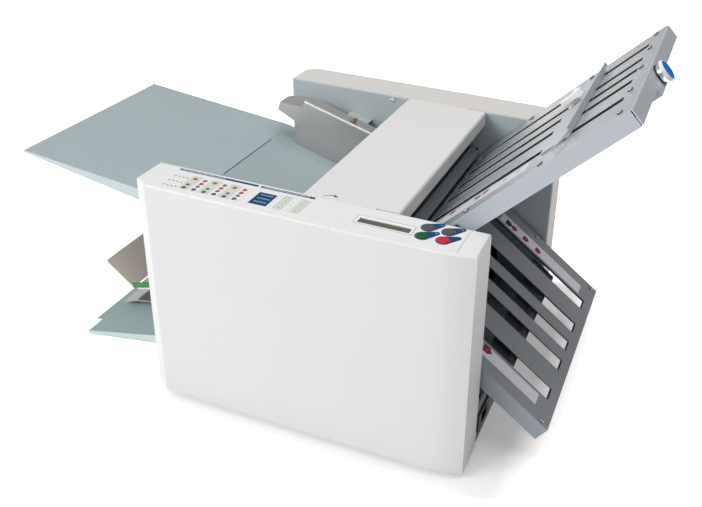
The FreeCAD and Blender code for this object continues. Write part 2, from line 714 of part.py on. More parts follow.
def make_lift_plate():
    """Hinged plate under the leading part of the stack, with level spring cups."""
    start = LIFT_START
    pieces = [box(start, -LIFT_HALF, -LIFT_T, LIFT_LENGTH, LIFT_HALF, 0)]
    for side in (-1, 1):
        inside = side * (LIFT_HALF - LIFT_T)
        pieces.append(box(start, inside, -LIFT_LIP, LIFT_LENGTH, side * LIFT_HALF, 0))
        pieces.append(box(start + 1, inside, -15, 19, side * LIFT_HALF, 0))
        pieces.append(rod(LIFT_PIVOT_ALONG, -LIFT_PIVOT_DOWN, LIFT_PIN_R, inside, side * (LIFT_HALF + LIFT_GAP + 5)))
    plate = in_bed(join(pieces))
    for side in (-1, 1):
        x, top = spring_top()
        cup = pillar(x, side * SPRING_Y, SPRING_R + 2, top, top + 9)
        below = in_bed(box(0, -LIFT_HALF, -40, LIFT_LENGTH, LIFT_HALF, -LIFT_T * 0.5))
        plate = plate.fuse(cup.common(below))
    return plate.removeSplitter()


def spring_top():
    """World (x, z) of the level seat under the lift plate."""
    turn = math.radians(BED_SLOPE)
    x = KINK_X + SPRING_X * math.cos(turn)
    surface = KINK_Z - SPRING_X * math.sin(turn)
    return x, surface - LIFT_T - (SPRING_R + 2) * math.tan(turn) - 2.0


def make_lift_springs():
    """Two coil springs between the cross bar and the lift plate."""
    x, top = spring_top()
    height = top - SPRING_SEAT_Z - 2 * SPRING_WIRE - 0.6
    springs = []
    for side in (-1, 1):
        coil = Part.makeHelix(height / SPRING_TURNS, height, SPRING_R - SPRING_WIRE)
        start = V(SPRING_R - SPRING_WIRE, 0, 0)
        ring = Part.Wire(Part.makeCircle(SPRING_WIRE, start, Y_AXIS))
        spring = Part.Wire(coil).makePipeShell([ring], True, True)
        spring.translate(V(x, side * SPRING_Y, SPRING_SEAT_Z + SPRING_WIRE + 0.3))
        springs.append(Part.Solid(spring) if spring.ShapeType != "Solid" else spring)
    return springs


def rear_guide_local():
    """The rear side guide on the bed's axes: upright plate, rolled bead, shelf and level tail."""
    top = REAR_GUIDE_HEIGHT
    shelf_z = top - SHELF_DROP
    upright = box(GUIDE_X0, GUIDE_Y, GUIDE_LIFT, GUIDE_X1, GUIDE_Y + GUIDE_T, top - GUIDE_BEAD_R)
    bead = Part.makeCylinder(GUIDE_BEAD_R, GUIDE_X1 - GUIDE_X0,
                             V(GUIDE_X0, GUIDE_Y + GUIDE_BEAD_R, top - GUIDE_BEAD_R), X_AXIS)
    shelf = box(GUIDE_X0, GUIDE_Y, shelf_z - GUIDE_T, GUIDE_X1, GUIDE_Y + SHELF_OUT, shelf_z)
    rise = math.radians(BED_SLOPE - 4.0)
    end_x = GUIDE_X0 - SHELF_TAIL
    end_z = shelf_z - SHELF_TAIL * math.tan(rise)
    tail_points = [(GUIDE_X0, shelf_z), (end_x, end_z), (end_x, end_z - GUIDE_T), (GUIDE_X0, shelf_z - GUIDE_T)]
    tail = profile(tail_points, GUIDE_Y, GUIDE_Y + SHELF_OUT)
    inner_x = GUIDE_X0 + 1
    skirt_points = [(inner_x, shelf_z - GUIDE_T), (end_x, end_z), (end_x, end_z - 14), (inner_x, shelf_z - 30)]
    skirt = profile(skirt_points, GUIDE_Y, GUIDE_Y + GUIDE_T)
    slot_half = KNOB_STEM_R + 0.5
    slot = box(KNOB_ALONG - slot_half, KNOB_Y - GUIDE_OUTWARD - slot_half, shelf_z - 5,
               KNOB_ALONG + slot_half, KNOB_Y + GUIDE_INWARD + slot_half, shelf_z + 5)
    corner = plan([(end_x - 1, GUIDE_Y + SHELF_OUT - 16), (end_x + 18, GUIDE_Y + SHELF_OUT + 1),
                   (end_x - 1, GUIDE_Y + SHELF_OUT + 1)], 0, top)
    return join([upright, bead, shelf, tail, skirt]).cut([slot, corner])


def make_rear_side_guide():
    return in_bed(rear_guide_local())


def make_front_side_guide():
    """Fixed guide with a foot on the bed strip."""
    upright = box(GUIDE_X0, -GUIDE_Y, 0, GUIDE_X1, -GUIDE_Y - GUIDE_T, FRONT_GUIDE_HEIGHT)
    foot = box(GUIDE_X0, -GUIDE_Y, 0, GUIDE_X1, -GUIDE_Y - GUIDE_FOOT, GUIDE_T)
    return in_bed(join([upright, foot]))


def make_guide_lock_knob():
    """Knurled thumb screw that clamps the rear guide's shelf to its bracket."""
    shelf_z = REAR_GUIDE_HEIGHT - SHELF_DROP
    base = shelf_z + BELT_CLEARANCE
    knob = Part.makeCylinder(KNOB_R, KNOB_HEIGHT, V(KNOB_ALONG, KNOB_Y, base))
    grooves = []
    for i in range(16):
        turn = 2 * math.pi * i / 16
        grooves.append(Part.makeCylinder(0.7, KNOB_HEIGHT * 0.72,
                                         V(KNOB_ALONG + KNOB_R * math.cos(turn),
                                           KNOB_Y + KNOB_R * math.sin(turn), base + KNOB_HEIGHT * 0.28)))
    stem = Part.makeCylinder(KNOB_STEM_R, 8, V(KNOB_ALONG, KNOB_Y, base - 8))
    return in_bed(join([knob.cut(grooves), stem]))


def hook(u, closed):
    """A plate hook on a side frame, on fold plate axes: a closed one seats the pin, the other is a rail."""
    y0 = FRAME_INNER - HOOK_T
    block = box(u - HOOK_HALF, y0, PIN_W - 9, u + HOOK_HALF, FRAME_INNER, PIN_W + HOOK_RISE)
    gap = HOOK_PIN_R + HOOK_CLEARANCE
    slot_start = u if closed else u - HOOK_HALF - 1
    slot = box(slot_start, y0 - 1, PIN_W - gap, u + HOOK_HALF + 1, FRAME_INNER + 1, PIN_W + gap)
    seat = rod(u, PIN_W, gap, y0 - 1, FRAME_INNER + 1)
    return block.cut([slot, seat])


def make_frame_brackets():
    """Brackets on the side frames: table, rear guide, spring bar, fold plate hooks and roller guard."""
    pieces = []
    for x in CARRIER_PLACES:
        carrier = in_bed(box(x, TABLE_HALF, -18, x + CARRIER_LENGTH, FRAME_INNER, -12))
        pieces += [carrier, mirror_y(carrier)]
    shelf_z = REAR_GUIDE_HEIGHT - SHELF_DROP - GUIDE_T - BELT_CLEARANCE
    seat = box(KNOB_ALONG - 18, KNOB_Y - 9, shelf_z - 2, KNOB_ALONG + 18, FRAME_INNER, shelf_z)
    bore = Part.makeCylinder(KNOB_STEM_R + RUNNING_CLEARANCE, 20, V(KNOB_ALONG, KNOB_Y, shelf_z - 10))
    pieces.append(in_bed(seat.cut(bore)))
    x, _ = spring_top()
    pieces.append(box(x - SPRING_BAR_W / 2, -FRAME_INNER, SPRING_SEAT_Z - SPRING_BAR_T,
                      x + SPRING_BAR_W / 2, FRAME_INNER, SPRING_SEAT_Z))
    holders = [in_upper(hook(UPPER_PIN_US[0], True)), in_upper(hook(UPPER_PIN_US[1], False))]
    holders += [in_lower(hook(LOWER_PIN_US[0], True)), in_lower(hook(LOWER_PIN_US[1], False))]
    for holder in holders:
        pieces += [holder, mirror_y(holder)]
    guard = box(0, -FRAME_INNER, -GUARD_T, GUARD_WIDTH, FRAME_INNER, 0)
    pieces.append(tilt(guard, GUARD_X, GUARD_Z, -GUARD_SLOPE))
    return pieces


def make_stack_wall():
    """Wall against which the stack rests, with the infeed sheet towards the fold rollers."""
    points = [
        (WALL_X, WALL_BOTTOM_Z), (WALL_X, WALL_TOP_Z), (INFEED_END_X, INFEED_END_Z),
        (INFEED_END_X, INFEED_END_Z - WALL_T), (WALL_X + WALL_T, WALL_TOP_Z - WALL_T - 0.5),
        (WALL_X + WALL_T, WALL_BOTTOM_Z),
    ]
    return profile(points, -FRAME_INNER, FRAME_INNER)


def make_separator_pad():
    """Rubber pad on the infeed sheet, under the feed roller."""
    slope = math.degrees(math.atan2(WALL_TOP_Z - INFEED_END_Z, INFEED_END_X - WALL_X))
    start = (PAD_X - WALL_X) / math.cos(math.radians(slope)) - PAD_LENGTH / 2
    pad = box(start, -PAD_HALF, 0, start + PAD_LENGTH, PAD_HALF, PAD_T)
    return tilt(pad, WALL_X, WALL_TOP_Z, -slope)


def make_feed_roller():
    x, z = feed_centre()
    return rod(x, z, FEED_ROLLER_R, -FEED_ROLLER_HALF, FEED_ROLLER_HALF).cut(
        rod(x, z, FEED_SHAFT_R, -FEED_ROLLER_HALF, FEED_ROLLER_HALF))


def make_feed_shaft():
    """Feed shaft with its pulley at the drive end."""
    x, z = feed_centre()
    shaft = rod(x, z, FEED_SHAFT_R, -HALF_GAP - BUSH_FLANGE_T, LAYER_B)
    return join([shaft, pulley(x, z, FEED_PULLEY_R, LAYER_B)])


# ---------------------------------------------------------------- fold rollers and drive
SHAFT_ENDS = {1: LAYER_B, 2: LAYER_A, 3: GEAR_Y + GEAR_WIDTH, 4: LAYER_B}


def make_fold_roller(number):
    """Rubber covered roller with its journals."""
    x, z = roller_centre(number)
    barrel = rod(x, z, ROLLER_R, -ROLLER_HALF, ROLLER_HALF)
    journal = rod(x, z, JOURNAL_R, -HALF_GAP - BUSH_FLANGE_T, SHAFT_ENDS[number])
    return join([barrel, journal])


def gear_blank(x, z, phase):
    """A straight toothed gear with its bore, its first tooth at phase degrees."""
    pitch = 360.0 / GEAR_TEETH
    pitch_r = ROLLER_PITCH / 2
    root_r = pitch_r - 1.2 * GEAR_MODULE
    tip_r = pitch_r + 0.9 * GEAR_MODULE
    corners = []
    for i in range(GEAR_TEETH):
        middle = phase + i * pitch
        for r, share in ((root_r, -0.29), (tip_r, -0.11), (tip_r, 0.11), (root_r, 0.29)):
            turn = math.radians(middle + share * pitch)
            corners.append((x + r * math.cos(turn), z + r * math.sin(turn)))
    gear = profile(corners, GEAR_Y, GEAR_Y + GEAR_WIDTH)
    return gear.cut(rod(x, z, JOURNAL_R, GEAR_Y - 1, GEAR_Y + GEAR_WIDTH + 1))


def gear_phase(number):
    """Angle of a gear's first tooth, so that it meshes with the gear of fold roller 2."""
    if number == 2:
        return 0.0
    angle = {1: ROLLER_1_ANGLE, 3: ROLLER_3_ANGLE, 4: ROLLER_4_ANGLE}[number]
    pitch = 360.0 / GEAR_TEETH
    return 2 * angle + 180.0 + pitch / 2


def make_roller_gear(number):
    """Gear on a fold roller's journal, with a belt pulley beside it where one is driven."""
    x, z = roller_centre(number)
    gear = gear_blank(x, z, gear_phase(number))
    if number == 2:
        collar = rod(x, z, SMALL_PULLEY_R, GEAR_Y + GEAR_WIDTH, LAYER_A)
        wheel = pulley(x, z, MAIN_PULLEY_R, LAYER_A)
        bore = rod(x, z, JOURNAL_R, GEAR_Y, SHAFT_ENDS[2])
        return join([gear, collar, wheel]).cut(bore)
    if number in (1, 4):
        collar = rod(x, z, JOURNAL_R + 2.5, GEAR_Y + GEAR_WIDTH, LAYER_B)
        wheel = pulley(x, z, SMALL_PULLEY_R, LAYER_B)
        bore = rod(x, z, JOURNAL_R, GEAR_Y, SHAFT_ENDS[number])
        return join([gear, collar, wheel]).cut(bore)
    return gear


def make_transport_shaft():
    """Shaft that drives the flat belts, with its wheels and drive pulley."""
    return belt_shaft(TRANSPORT_X, TRANSPORT_Z, LAYER_B, True)


def make_exit_shaft():
    x, z = exit_centre()
    return belt_shaft(x, z, HALF_GAP + BUSH_FLANGE_T, False)


def belt_shaft(x, z, end, driven):
    """A shaft with three belt wheels, and a drive pulley where it is driven."""
    parts = [rod(x, z, JOURNAL_R, -HALF_GAP - BUSH_FLANGE_T, end)]
    parts += [rod(x, z, WHEEL_R, y - WHEEL_WIDTH / 2, y + WHEEL_WIDTH / 2) for y in (-WHEEL_Y, 0, WHEEL_Y)]
    if driven:
        parts.append(pulley(x, z, TRANSPORT_PULLEY_R, LAYER_B))
    return join(parts)


def make_transport_belts():
    first = (TRANSPORT_X, TRANSPORT_Z)
    second = exit_centre()
    return [belt(first, WHEEL_R, second, WHEEL_R, y - FLAT_BELT_WIDTH / 2, FLAT_BELT_WIDTH)
            for y in (-WHEEL_Y, 0, WHEEL_Y)]


def make_exit_chute():
    """Sheet just under the belts' upper run, slotted for them, between the side frames."""
    z = WHEEL_R + BELT_CLEARANCE + BELT_T - CHUTE_BELOW
    low = -CHUTE_RUN - CHUTE_END
    sheet = box(low, -FRAME_INNER, z - CHUTE_T, CHUTE_END - 4, FRAME_INNER, z)
    half = WHEEL_WIDTH / 2 + CHUTE_SLOT_SIDE
    slots = [box(-CHUTE_RUN - CHUTE_SLOT_END, y - half, z - 9, CHUTE_SLOT_END - 2, y + half, z + 9)
             for y in (-WHEEL_Y, 0, WHEEL_Y)]
    return tilt(sheet.cut(slots), TRANSPORT_X, TRANSPORT_Z, CHUTE_SLOPE)


def make_drive_motor():
    """Motor with its flange on the rear side frame."""
    flange_y = FRAME_INNER - MOTOR_FLANGE_T
    half = MOTOR_FLANGE / 2
    flange = box(MOTOR_X - half, flange_y, MOTOR_Z - half, MOTOR_X + half, FRAME_INNER, MOTOR_Z + half)
    can = rod(MOTOR_X, MOTOR_Z, MOTOR_R, flange_y - MOTOR_LENGTH, flange_y)
    cap = rod(MOTOR_X, MOTOR_Z, MOTOR_R * 0.4, flange_y - MOTOR_LENGTH - 6, flange_y)
    bore = rod(MOTOR_X, MOTOR_Z, MOTOR_SHAFT_R + RUNNING_CLEARANCE, flange_y - 30, FRAME_INNER + 1)
    return join([flange, can, cap]).cut(bore)


def make_motor_pulley():
    shaft = rod(MOTOR_X, MOTOR_Z, MOTOR_SHAFT_R, FRAME_INNER - MOTOR_FLANGE_T - 28, LAYER_A)
    return join([shaft, pulley(MOTOR_X, MOTOR_Z, SMALL_PULLEY_R, LAYER_A)])


def make_drive_belts():
    """Motor belt, feed belt and transport belt at the drive side."""
    motor = belt(roller_centre(2), MAIN_PULLEY_R, (MOTOR_X, MOTOR_Z), SMALL_PULLEY_R, LAYER_A + 0.5,
                 PULLEY_WIDTH - 1)
    feed = belt(roller_centre(1), SMALL_PULLEY_R, feed_centre(), FEED_PULLEY_R, LAYER_B + 0.5,
                PULLEY_WIDTH - 1)
    transport = belt(roller_centre(4), SMALL_PULLEY_R, (TRANSPORT_X, TRANSPORT_Z), TRANSPORT_PULLEY_R,
                     LAYER_B + 0.5, PULLEY_WIDTH - 1)
    return [motor, feed, transport]


# ---------------------------------------------------------------- fold plates
def slot_cutters(length, end, width, shift, z0, z1):
    """Long slots of a fold plate, open at the inner end."""
    return [box(-length - 30, v + shift - width / 2, z0, -end, v + shift + width / 2, z1) for v in SLOT_OFFSETS]


def plate_pins(us, half):
    """Stub pins on the side flanges, which hang in the hooks."""
    pins = []
    for u in us:
        for side in (-1, 1):
            pins.append(rod(u, PIN_W, HOOK_PIN_R, side * (half - PLATE_T), side * (FRAME_INNER - 0.8)))
    return pins


def screw_holes(places, z0, z1):
    return [pillar(u, v, SCREW_SHANK_R, z0, z1) for u, v in places]


def upper_screw_places():
    end = [(-17.0, v) for v in (-152.0, -79.0, 5.0, 86.0, 152.0)]
    sides = [(u, side * 153.0) for u in (-125.0, -236.0) for side in (-1, 1)]
    return end + sides


def lower_screw_places():
    return [(u, side * 159.5) for u in (-12.5, -128.0) for side in (-1, 1)]


def make_upper_plate_top():
    """Slotted top sheet with side flanges, a rounded end flange and bent tips."""
    half = UPPER_HALF
    sheet = box(-UPPER_LENGTH, -half, -PLATE_T, 0, half, 0)
    end = box(-PLATE_T, -half, -UPPER_DEPTH + 1, 0, half, 0)
    body = join([sheet, end])
    bend = [e for e in body.Edges if e.BoundBox.ZMin > -0.01 and e.BoundBox.XMin > -0.01]
    body = body.makeFillet(UPPER_BEND_R - PLATE_T, bend)
    flange = box(-UPPER_LENGTH, half - PLATE_T, -UPPER_DEPTH, -PLATE_T - SEAM, half, 0)
    tab_outside = half - PLATE_T - RUNNING_CLEARANCE
    tab = box(-TAB_LENGTH, tab_outside - PLATE_T, -UPPER_DEPTH + 1, 0, tab_outside,
              PAPER_FLOOR - PLATE_T - BELT_CLEARANCE)
    turn = math.radians(NOSE_ANGLE)
    tip_u = -UPPER_LENGTH - NOSE_LENGTH * math.cos(turn)
    tip_w = -NOSE_LENGTH * math.sin(turn)
    nose_points = [(-UPPER_LENGTH, 0), (-UPPER_LENGTH, -PLATE_T),
                   (tip_u + PLATE_T * 0.5, tip_w - PLATE_T * 0.8), (tip_u - PLATE_T * 0.4, tip_w)]
    nose = profile(nose_points, -half + 12, half - 12)
    body = join([body, flange, mirror_y(flange), tab, mirror_y(tab), nose] + plate_pins(UPPER_PIN_US, half))
    cuts = slot_cutters(UPPER_LENGTH, UPPER_SLOT_END, UPPER_SLOT_W, UPPER_SHIFT, -9, 9)
    bridge = box(-UPPER_LENGTH + 2, -half + PLATE_T, -PLATE_T, -UPPER_LENGTH + 6, half - PLATE_T, 0)
    cuts += screw_holes(upper_screw_places(), -9, 9)
    return in_upper(join([body.cut(cuts), bridge]))


def bottom_sheet(length, half, inner):
    """Lower sheet of a fold plate, with ledges that meet the side flanges."""
    inside = half - PLATE_T
    return box(-length - inner, -inside, PAPER_FLOOR - PLATE_T, -PLATE_T - SEAM, inside, PAPER_FLOOR)


def spacer_posts(places):
    """Posts on the lower sheet that carry the top sheet at each screw."""
    return [pillar(u, v, SCREW_SHANK_R + 1.7, PAPER_FLOOR - PLATE_T / 2, -PLATE_T) for u, v in places]


def make_upper_plate_bottom():
    sheet = bottom_sheet(UPPER_LENGTH, UPPER_HALF, -2)
    sheet = join([sheet] + spacer_posts(upper_screw_places()))
    cuts = [box(-UPPER_LENGTH + 20, v + UPPER_SHIFT - UPPER_SLOT_W / 2, -20, -UPPER_SLOT_END,
                v + UPPER_SHIFT + UPPER_SLOT_W / 2, -PLATE_T - 1) for v in SLOT_OFFSETS]
    cuts += screw_holes(upper_screw_places(), -PLATE_T - SCREW_SHANK, 0)
    return in_upper(sheet.cut(cuts))


def make_upper_knob_bracket():
    """Lug flush with the plate's end and behind it, which carries the adjusting knob."""
    inside = -PLATE_T - BRACKET_T
    seat = box(inside, BRACKET_NEAR, -BRACKET_DEPTH, -PLATE_T, BRACKET_FAR, -PLATE_T - PAPER_SLOT - 3)
    lug = box(inside, BRACKET_NEAR, -BRACKET_DEPTH, 0, BRACKET_FAR, -UPPER_DEPTH + 1)
    back = box(-BRACKET_INWARD, BRACKET_NEAR, -BRACKET_DEPTH, 0, BRACKET_FAR, -BRACKET_DEPTH + BRACKET_T)
    cheeks = [box(-BRACKET_INWARD, v, -BRACKET_DEPTH, 0, v + BRACKET_T, -UPPER_DEPTH + 1)
              for v in (BRACKET_NEAR, BRACKET_FAR - BRACKET_T)]
    bore = Part.makeCylinder(ADJUST_STEM_R + RUNNING_CLEARANCE, 60, V(-40, ADJUST_V, ADJUST_W), X_AXIS)
    return in_upper(join([seat, lug, back] + cheeks).cut(bore))


def make_upper_adjust_knob():
    """Knob with hub, washer and disc, its stem in the bracket."""
    def disc(r, u0, u1):
        return Part.makeCylinder(r, u1 - u0, V(u0, ADJUST_V, ADJUST_W), X_AXIS)
    start = BELT_CLEARANCE
    stem = disc(ADJUST_STEM_R, -PLATE_T - 8, start + 1)
    washer = disc(ADJUST_WASHER_R, start, start + ADJUST_WASHER_T)
    hub = disc(ADJUST_HUB_R, start + ADJUST_WASHER_T, ADJUST_REACH - ADJUST_DISC)
    rim = disc(ADJUST_KNOB_R, ADJUST_REACH - ADJUST_DISC, ADJUST_REACH)
    outer = [e for e in rim.Edges if e.Curve.TypeId == "Part::GeomCircle"]
    rim = rim.makeFillet(ADJUST_RIM_FILLET, outer)
    return in_upper(join([stem, washer, hub, rim]))


def end_hole(shape):
    """Hole of the knob's stem through the plate's end flange, on plate axes."""
    return shape.cut(in_upper(Part.makeCylinder(ADJUST_STEM_R + 1, 60, V(-40, ADJUST_V, ADJUST_W), X_AXIS)))


def make_plate_screws(places, placer):
    return [placer(screw_up(u, v, 0)) for u, v in places]


def make_lower_plate_top():
    """Slotted top sheet with side flanges."""
    half = LOWER_HALF
    sheet = box(-LOWER_LENGTH, -half, -PLATE_T, 0, half, 0)
    flange = box(-LOWER_LENGTH, half - PLATE_T, -LOWER_DEPTH, 0, half, 0)
    body = join([sheet, flange, mirror_y(flange)] + plate_pins(LOWER_PIN_US, half))
    cuts = [box(-LOWER_LENGTH + 8, v + LOWER_SHIFT - LOWER_SLOT_W / 2, -9, -LOWER_SLOT_END,
                v + LOWER_SHIFT + LOWER_SLOT_W / 2, 9) for v in LOWER_SLOT_OFFSETS]
    cuts += screw_holes(lower_screw_places(), -9, 9)
    return in_lower(body.cut(cuts))


def make_lower_plate_bottom():
    """Bottom sheet with openings wider than the top sheet's slots."""
    sheet = bottom_sheet(LOWER_LENGTH, LOWER_HALF, -2)
    sheet = join([sheet] + spacer_posts(lower_screw_places()))
    cuts = [box(-LOWER_LENGTH + 14, v + LOWER_SHIFT - LOWER_SLOT_W / 2, -20, -LOWER_OPEN_END,
                v + LOWER_SHIFT + LOWER_OPEN_REAR, -PLATE_T - 1) for v in LOWER_SLOT_OFFSETS]
    cuts += screw_holes(lower_screw_places(), -PLATE_T - SCREW_SHANK, 0)
    return in_lower(sheet.cut(cuts))


def make_upper_paper_stop():
    """Sliding stop on top of the upper plate: carrier, upright edge, pointer and fingers."""
    u1 = UPPER_STOP_U
    u0 = u1 - STOP_WIDTH
    low = STOP_GAP
    high = STOP_GAP + STOP_T
    carrier = box(u0, STOP_NEAR, low, u1, STOP_FAR, high)
    edge = box(u1 - STOP_T, STOP_FLANGE_NEAR, low, u1, STOP_FAR, STOP_FLANGE_H)
    reach = box(u1 - STOP_T, STOP_FAR - 1, SCREW_HEAD_GAP, u1, STOP_FLANGE_FAR, STOP_FLANGE_H)
    tip_v = STOP_FLANGE_NEAR - STOP_POINTER
    pointer = plan([(u1 - 4, STOP_FLANGE_NEAR + 1), (u1, STOP_FLANGE_NEAR + 1), (u1 - 12, tip_v),
                    (u1 - 15, tip_v)], SCREW_HEAD_GAP, SCREW_HEAD_GAP + STOP_T)
    web = box(u1 - STOP_T, STOP_FLANGE_NEAR, low, u1, STOP_FLANGE_NEAR + 2, STOP_FLANGE_H)
    fingers = []
    for v in SLOT_OFFSETS:
        middle = v + UPPER_SHIFT
        fingers.append(box(u1 - 12, middle - FINGER_W / 2, PAPER_FLOOR - 1, u1 - 10, middle + FINGER_W / 2, high))
    hole = pillar(CLAMP_U, CLAMP_V, CLAMP_PIN_R + RUNNING_CLEARANCE, 0, 9)
    return in_upper(join([carrier, edge, reach, pointer, web] + fingers).cut(hole))


def make_upper_stop_clamp():
    """Lever that clamps the upper stop: handle with a pivot stud through the carrier."""
    z0 = CLAMP_LIFT
    handle = box(CLAMP_U - CLAMP_LENGTH, CLAMP_V - CLAMP_W / 2, z0, CLAMP_U, CLAMP_V + CLAMP_W / 2, z0 + CLAMP_T)
    hub = pillar(CLAMP_U, CLAMP_V, CLAMP_W / 2 + 1.5, z0 - 0.8, z0 + CLAMP_T + 2)
    stud = pillar(CLAMP_U, CLAMP_V, CLAMP_PIN_R, STOP_GAP + 0.1, z0 + CLAMP_T + 4)
    return in_upper(join([handle, hub, stud]))


def make_lower_paper_stop():
    """Sliding stop under the lower plate, its fingers reaching up through the slots."""
    u1 = LOWER_STOP_U
    high = PAPER_FLOOR - PLATE_T - STOP_GAP
    low = high - STOP_T
    carrier = box(u1 - STOP_WIDTH, STOP_NEAR, low, u1, STOP_FAR, high)
    edge = box(u1 - STOP_T, STOP_NEAR, low - STOP_FLANGE_H, u1, STOP_FAR, high)
    fingers = []
    for v in LOWER_SLOT_OFFSETS:
        middle = v + LOWER_SHIFT
        fingers.append(box(u1 - 12, middle - FINGER_W / 2, low, u1 - 10, middle + FINGER_W / 2, -PLATE_T + 1))
    nut = pillar(u1 - STOP_WIDTH / 2, LOWER_SHIFT + 22, 7, low - 8, high)
    return in_lower(join([carrier, edge, nut] + fingers))


# ---------------------------------------------------------------- delivery
def make_delivery_tray():
    """Sloping sheet with a stepped outer edge and deepening side rims, and its pivot pins."""
    length = (TRAY_X1 - TRAY_X0) / math.cos(math.radians(TRAY_SLOPE))
    outline = [(0, -TRAY_HALF), (length, -TRAY_HALF), (length, TRAY_HALF), (-TRAY_STEP, TRAY_HALF),
               (-TRAY_STEP, TRAY_STEP_Y), (0, TRAY_STEP_Y)]
    sheet = plan(outline, -TRAY_T, 0)
    front_points = [(0, 0), (length, 0), (length, -TRAY_RIM_INNER), (0, -TRAY_RIM_OUTER)]
    front = profile(front_points, -TRAY_HALF, -TRAY_HALF + TRAY_T)
    rear = profile(front_points, TRAY_HALF - TRAY_T, TRAY_HALF)
    pins = [rod(length - 8, -6, TRAY_PIN_R, side * (TRAY_HALF - TRAY_T), side * (FRAME_INNER + 1.5))
            for side in (-1, 1)]
    return in_tray(join([sheet, front, rear] + pins))


def tray_pivot():
    """World (x, z) of the tray's pivot."""
    turn = math.radians(TRAY_SLOPE)
    x = (TRAY_X1 - TRAY_X0) / math.cos(turn) - 8
    return TRAY_X0 + x * math.cos(turn) + 6 * math.sin(turn), TRAY_Z0 + x * math.sin(turn) - 6 * math.cos(turn)


def make_stacker_plate():
    """Thin bent plate that floats above the tray on two feet and receives the folded sheets."""
    tops = [(STACKER_U0, STACKER_LOW), (STACKER_BEND, STACKER_HIGH), (STACKER_U1, STACKER_END)]
    unders = [(u, z - STACKER_T) for u, z in reversed(tops)]
    parts = [profile(tops + unders, -STACKER_HALF, STACKER_HALF)]
    for u in STACKER_FOOT_US:
        share = (u - STACKER_BEND) / (STACKER_U1 - STACKER_BEND)
        height = STACKER_HIGH + share * (STACKER_END - STACKER_HIGH)
        parts.append(box(u, -STACKER_HALF + 12, 0, u + 10, STACKER_HALF - 12, height - STACKER_T * 0.8))
    return in_tray(join(parts))


def make_exit_deflector():
    """Sloping plate beyond the exit, on two arms that pivot in the side frames."""
    run = math.hypot(DEFLECTOR_LOW_X - DEFLECTOR_TOP_X, DEFLECTOR_TOP_Z - DEFLECTOR_LOW_Z)
    slope = math.degrees(math.atan2(DEFLECTOR_TOP_Z - DEFLECTOR_LOW_Z, DEFLECTOR_LOW_X - DEFLECTOR_TOP_X))
    sheet = box(0, -DEFLECTOR_HALF, -DEFLECTOR_T, run, DEFLECTOR_HALF, 0)
    corners = [e for e in sheet.Edges if e.BoundBox.XMax < 0.01 and e.BoundBox.YLength < 0.01]
    sheet = tilt(sheet.makeFillet(4.0, corners), DEFLECTOR_TOP_X, DEFLECTOR_TOP_Z, -slope)
    points = [(DEFLECTOR_LOW_X - 8, DEFLECTOR_LOW_Z + 3), (DEFLECTOR_PIVOT_X, DEFLECTOR_PIVOT_Z + ARM_W / 2),
              (DEFLECTOR_PIVOT_X + ARM_W / 2, DEFLECTOR_PIVOT_Z), (DEFLECTOR_PIVOT_X, DEFLECTOR_PIVOT_Z - ARM_W / 2),
              (DEFLECTOR_LOW_X - 2, DEFLECTOR_LOW_Z - 3)]
    parts = [sheet]
    for side in (-1, 1):
        outer = side * (DEFLECTOR_HALF - 2)
        parts.append(profile(points, side * (DEFLECTOR_HALF - 2 - ARM_T), outer))
        parts.append(rod(DEFLECTOR_PIVOT_X, DEFLECTOR_PIVOT_Z, DEFLECTOR_PIN_R,
                         side * (DEFLECTOR_HALF - 3), side * (FRAME_INNER + 1.5)))
    return join(parts)


def pivot_holes(shape):
    """Holes of the tray's and the deflector's pins in the side frames."""
    holes = []
    for x, z in ((DEFLECTOR_PIVOT_X, DEFLECTOR_PIVOT_Z), tray_pivot()):
        holes.append(rod(x, z, DEFLECTOR_PIN_R + RUNNING_CLEARANCE, -HALF_GAP - 1, HALF_GAP + 1))
    return shape.cut(holes)


# ---------------------------------------------------------------- controls and power
def make_control_overlay():
    sheet = box(PANEL_X0, PANEL_Y0, TOP_Z, PANEL_X1, PANEL_Y1, TOP_Z + PANEL_T)
    return cut_all(sheet, panel_holes(TOP_Z - 1, TOP_Z + 1))


def make_display_window():
    gap = 0.15
    return box(WINDOW_X0 + gap, WINDOW_Y0 + gap, board_top() + 9, WINDOW_X1 - gap, WINDOW_Y1 - gap, TOP_Z - 0.6)


def board_top():
    return TOP_Z - BOARD_DROP


def make_control_board():
    """Board under the panel, with the display body, the button switches and its four posts."""
    top = board_top()
    board = box(BOARD_X0, BOARD_Y0, top - BOARD_T, BOARD_X1, BOARD_Y1, top)
    display = box(WINDOW_X0 - 3, WINDOW_Y0 - 3, top, WINDOW_X1 + 3, WINDOW_Y1 + 3, top + 9)
    parts = [board, display]
    for x, y in button_places().values():
        parts.append(box(x - SWITCH_SIDE / 2, y - SWITCH_SIDE / 2, top, x + SWITCH_SIDE / 2,
                         y + SWITCH_SIDE / 2, switch_top()))
    for x in (BOARD_X0 + 5, BOARD_X1 - 5):
        for y in (BOARD_Y0 + 5, BOARD_Y1 - 5):
            parts.append(pillar(x, y, 3, top, TOP_Z - HOUSING_WALL))
    return join(parts)


def switch_top():
    return TOP_Z + PANEL_T + BUTTON_RISE - BUTTON_SKIRT - BUTTON_TRAVEL - BUTTON_GAP


def make_button(name):
    """Round button with a domed edge and a flange that keeps it under the panel."""
    x, y = button_places()[name]
    top = TOP_Z + PANEL_T + BUTTON_RISE
    cap = pillar(x, y, BUTTON_R, top - BUTTON_SKIRT, top)
    rim = [e for e in cap.Edges if e.BoundBox.ZMin > top - 0.01]
    cap = cap.makeFillet(0.8, rim)
    keeper_top = TOP_Z - HOUSING_WALL - BUTTON_GAP
    keeper = pillar(x, y, BUTTON_R + 1.5, keeper_top - 1.5, keeper_top)
    return join([cap, keeper])


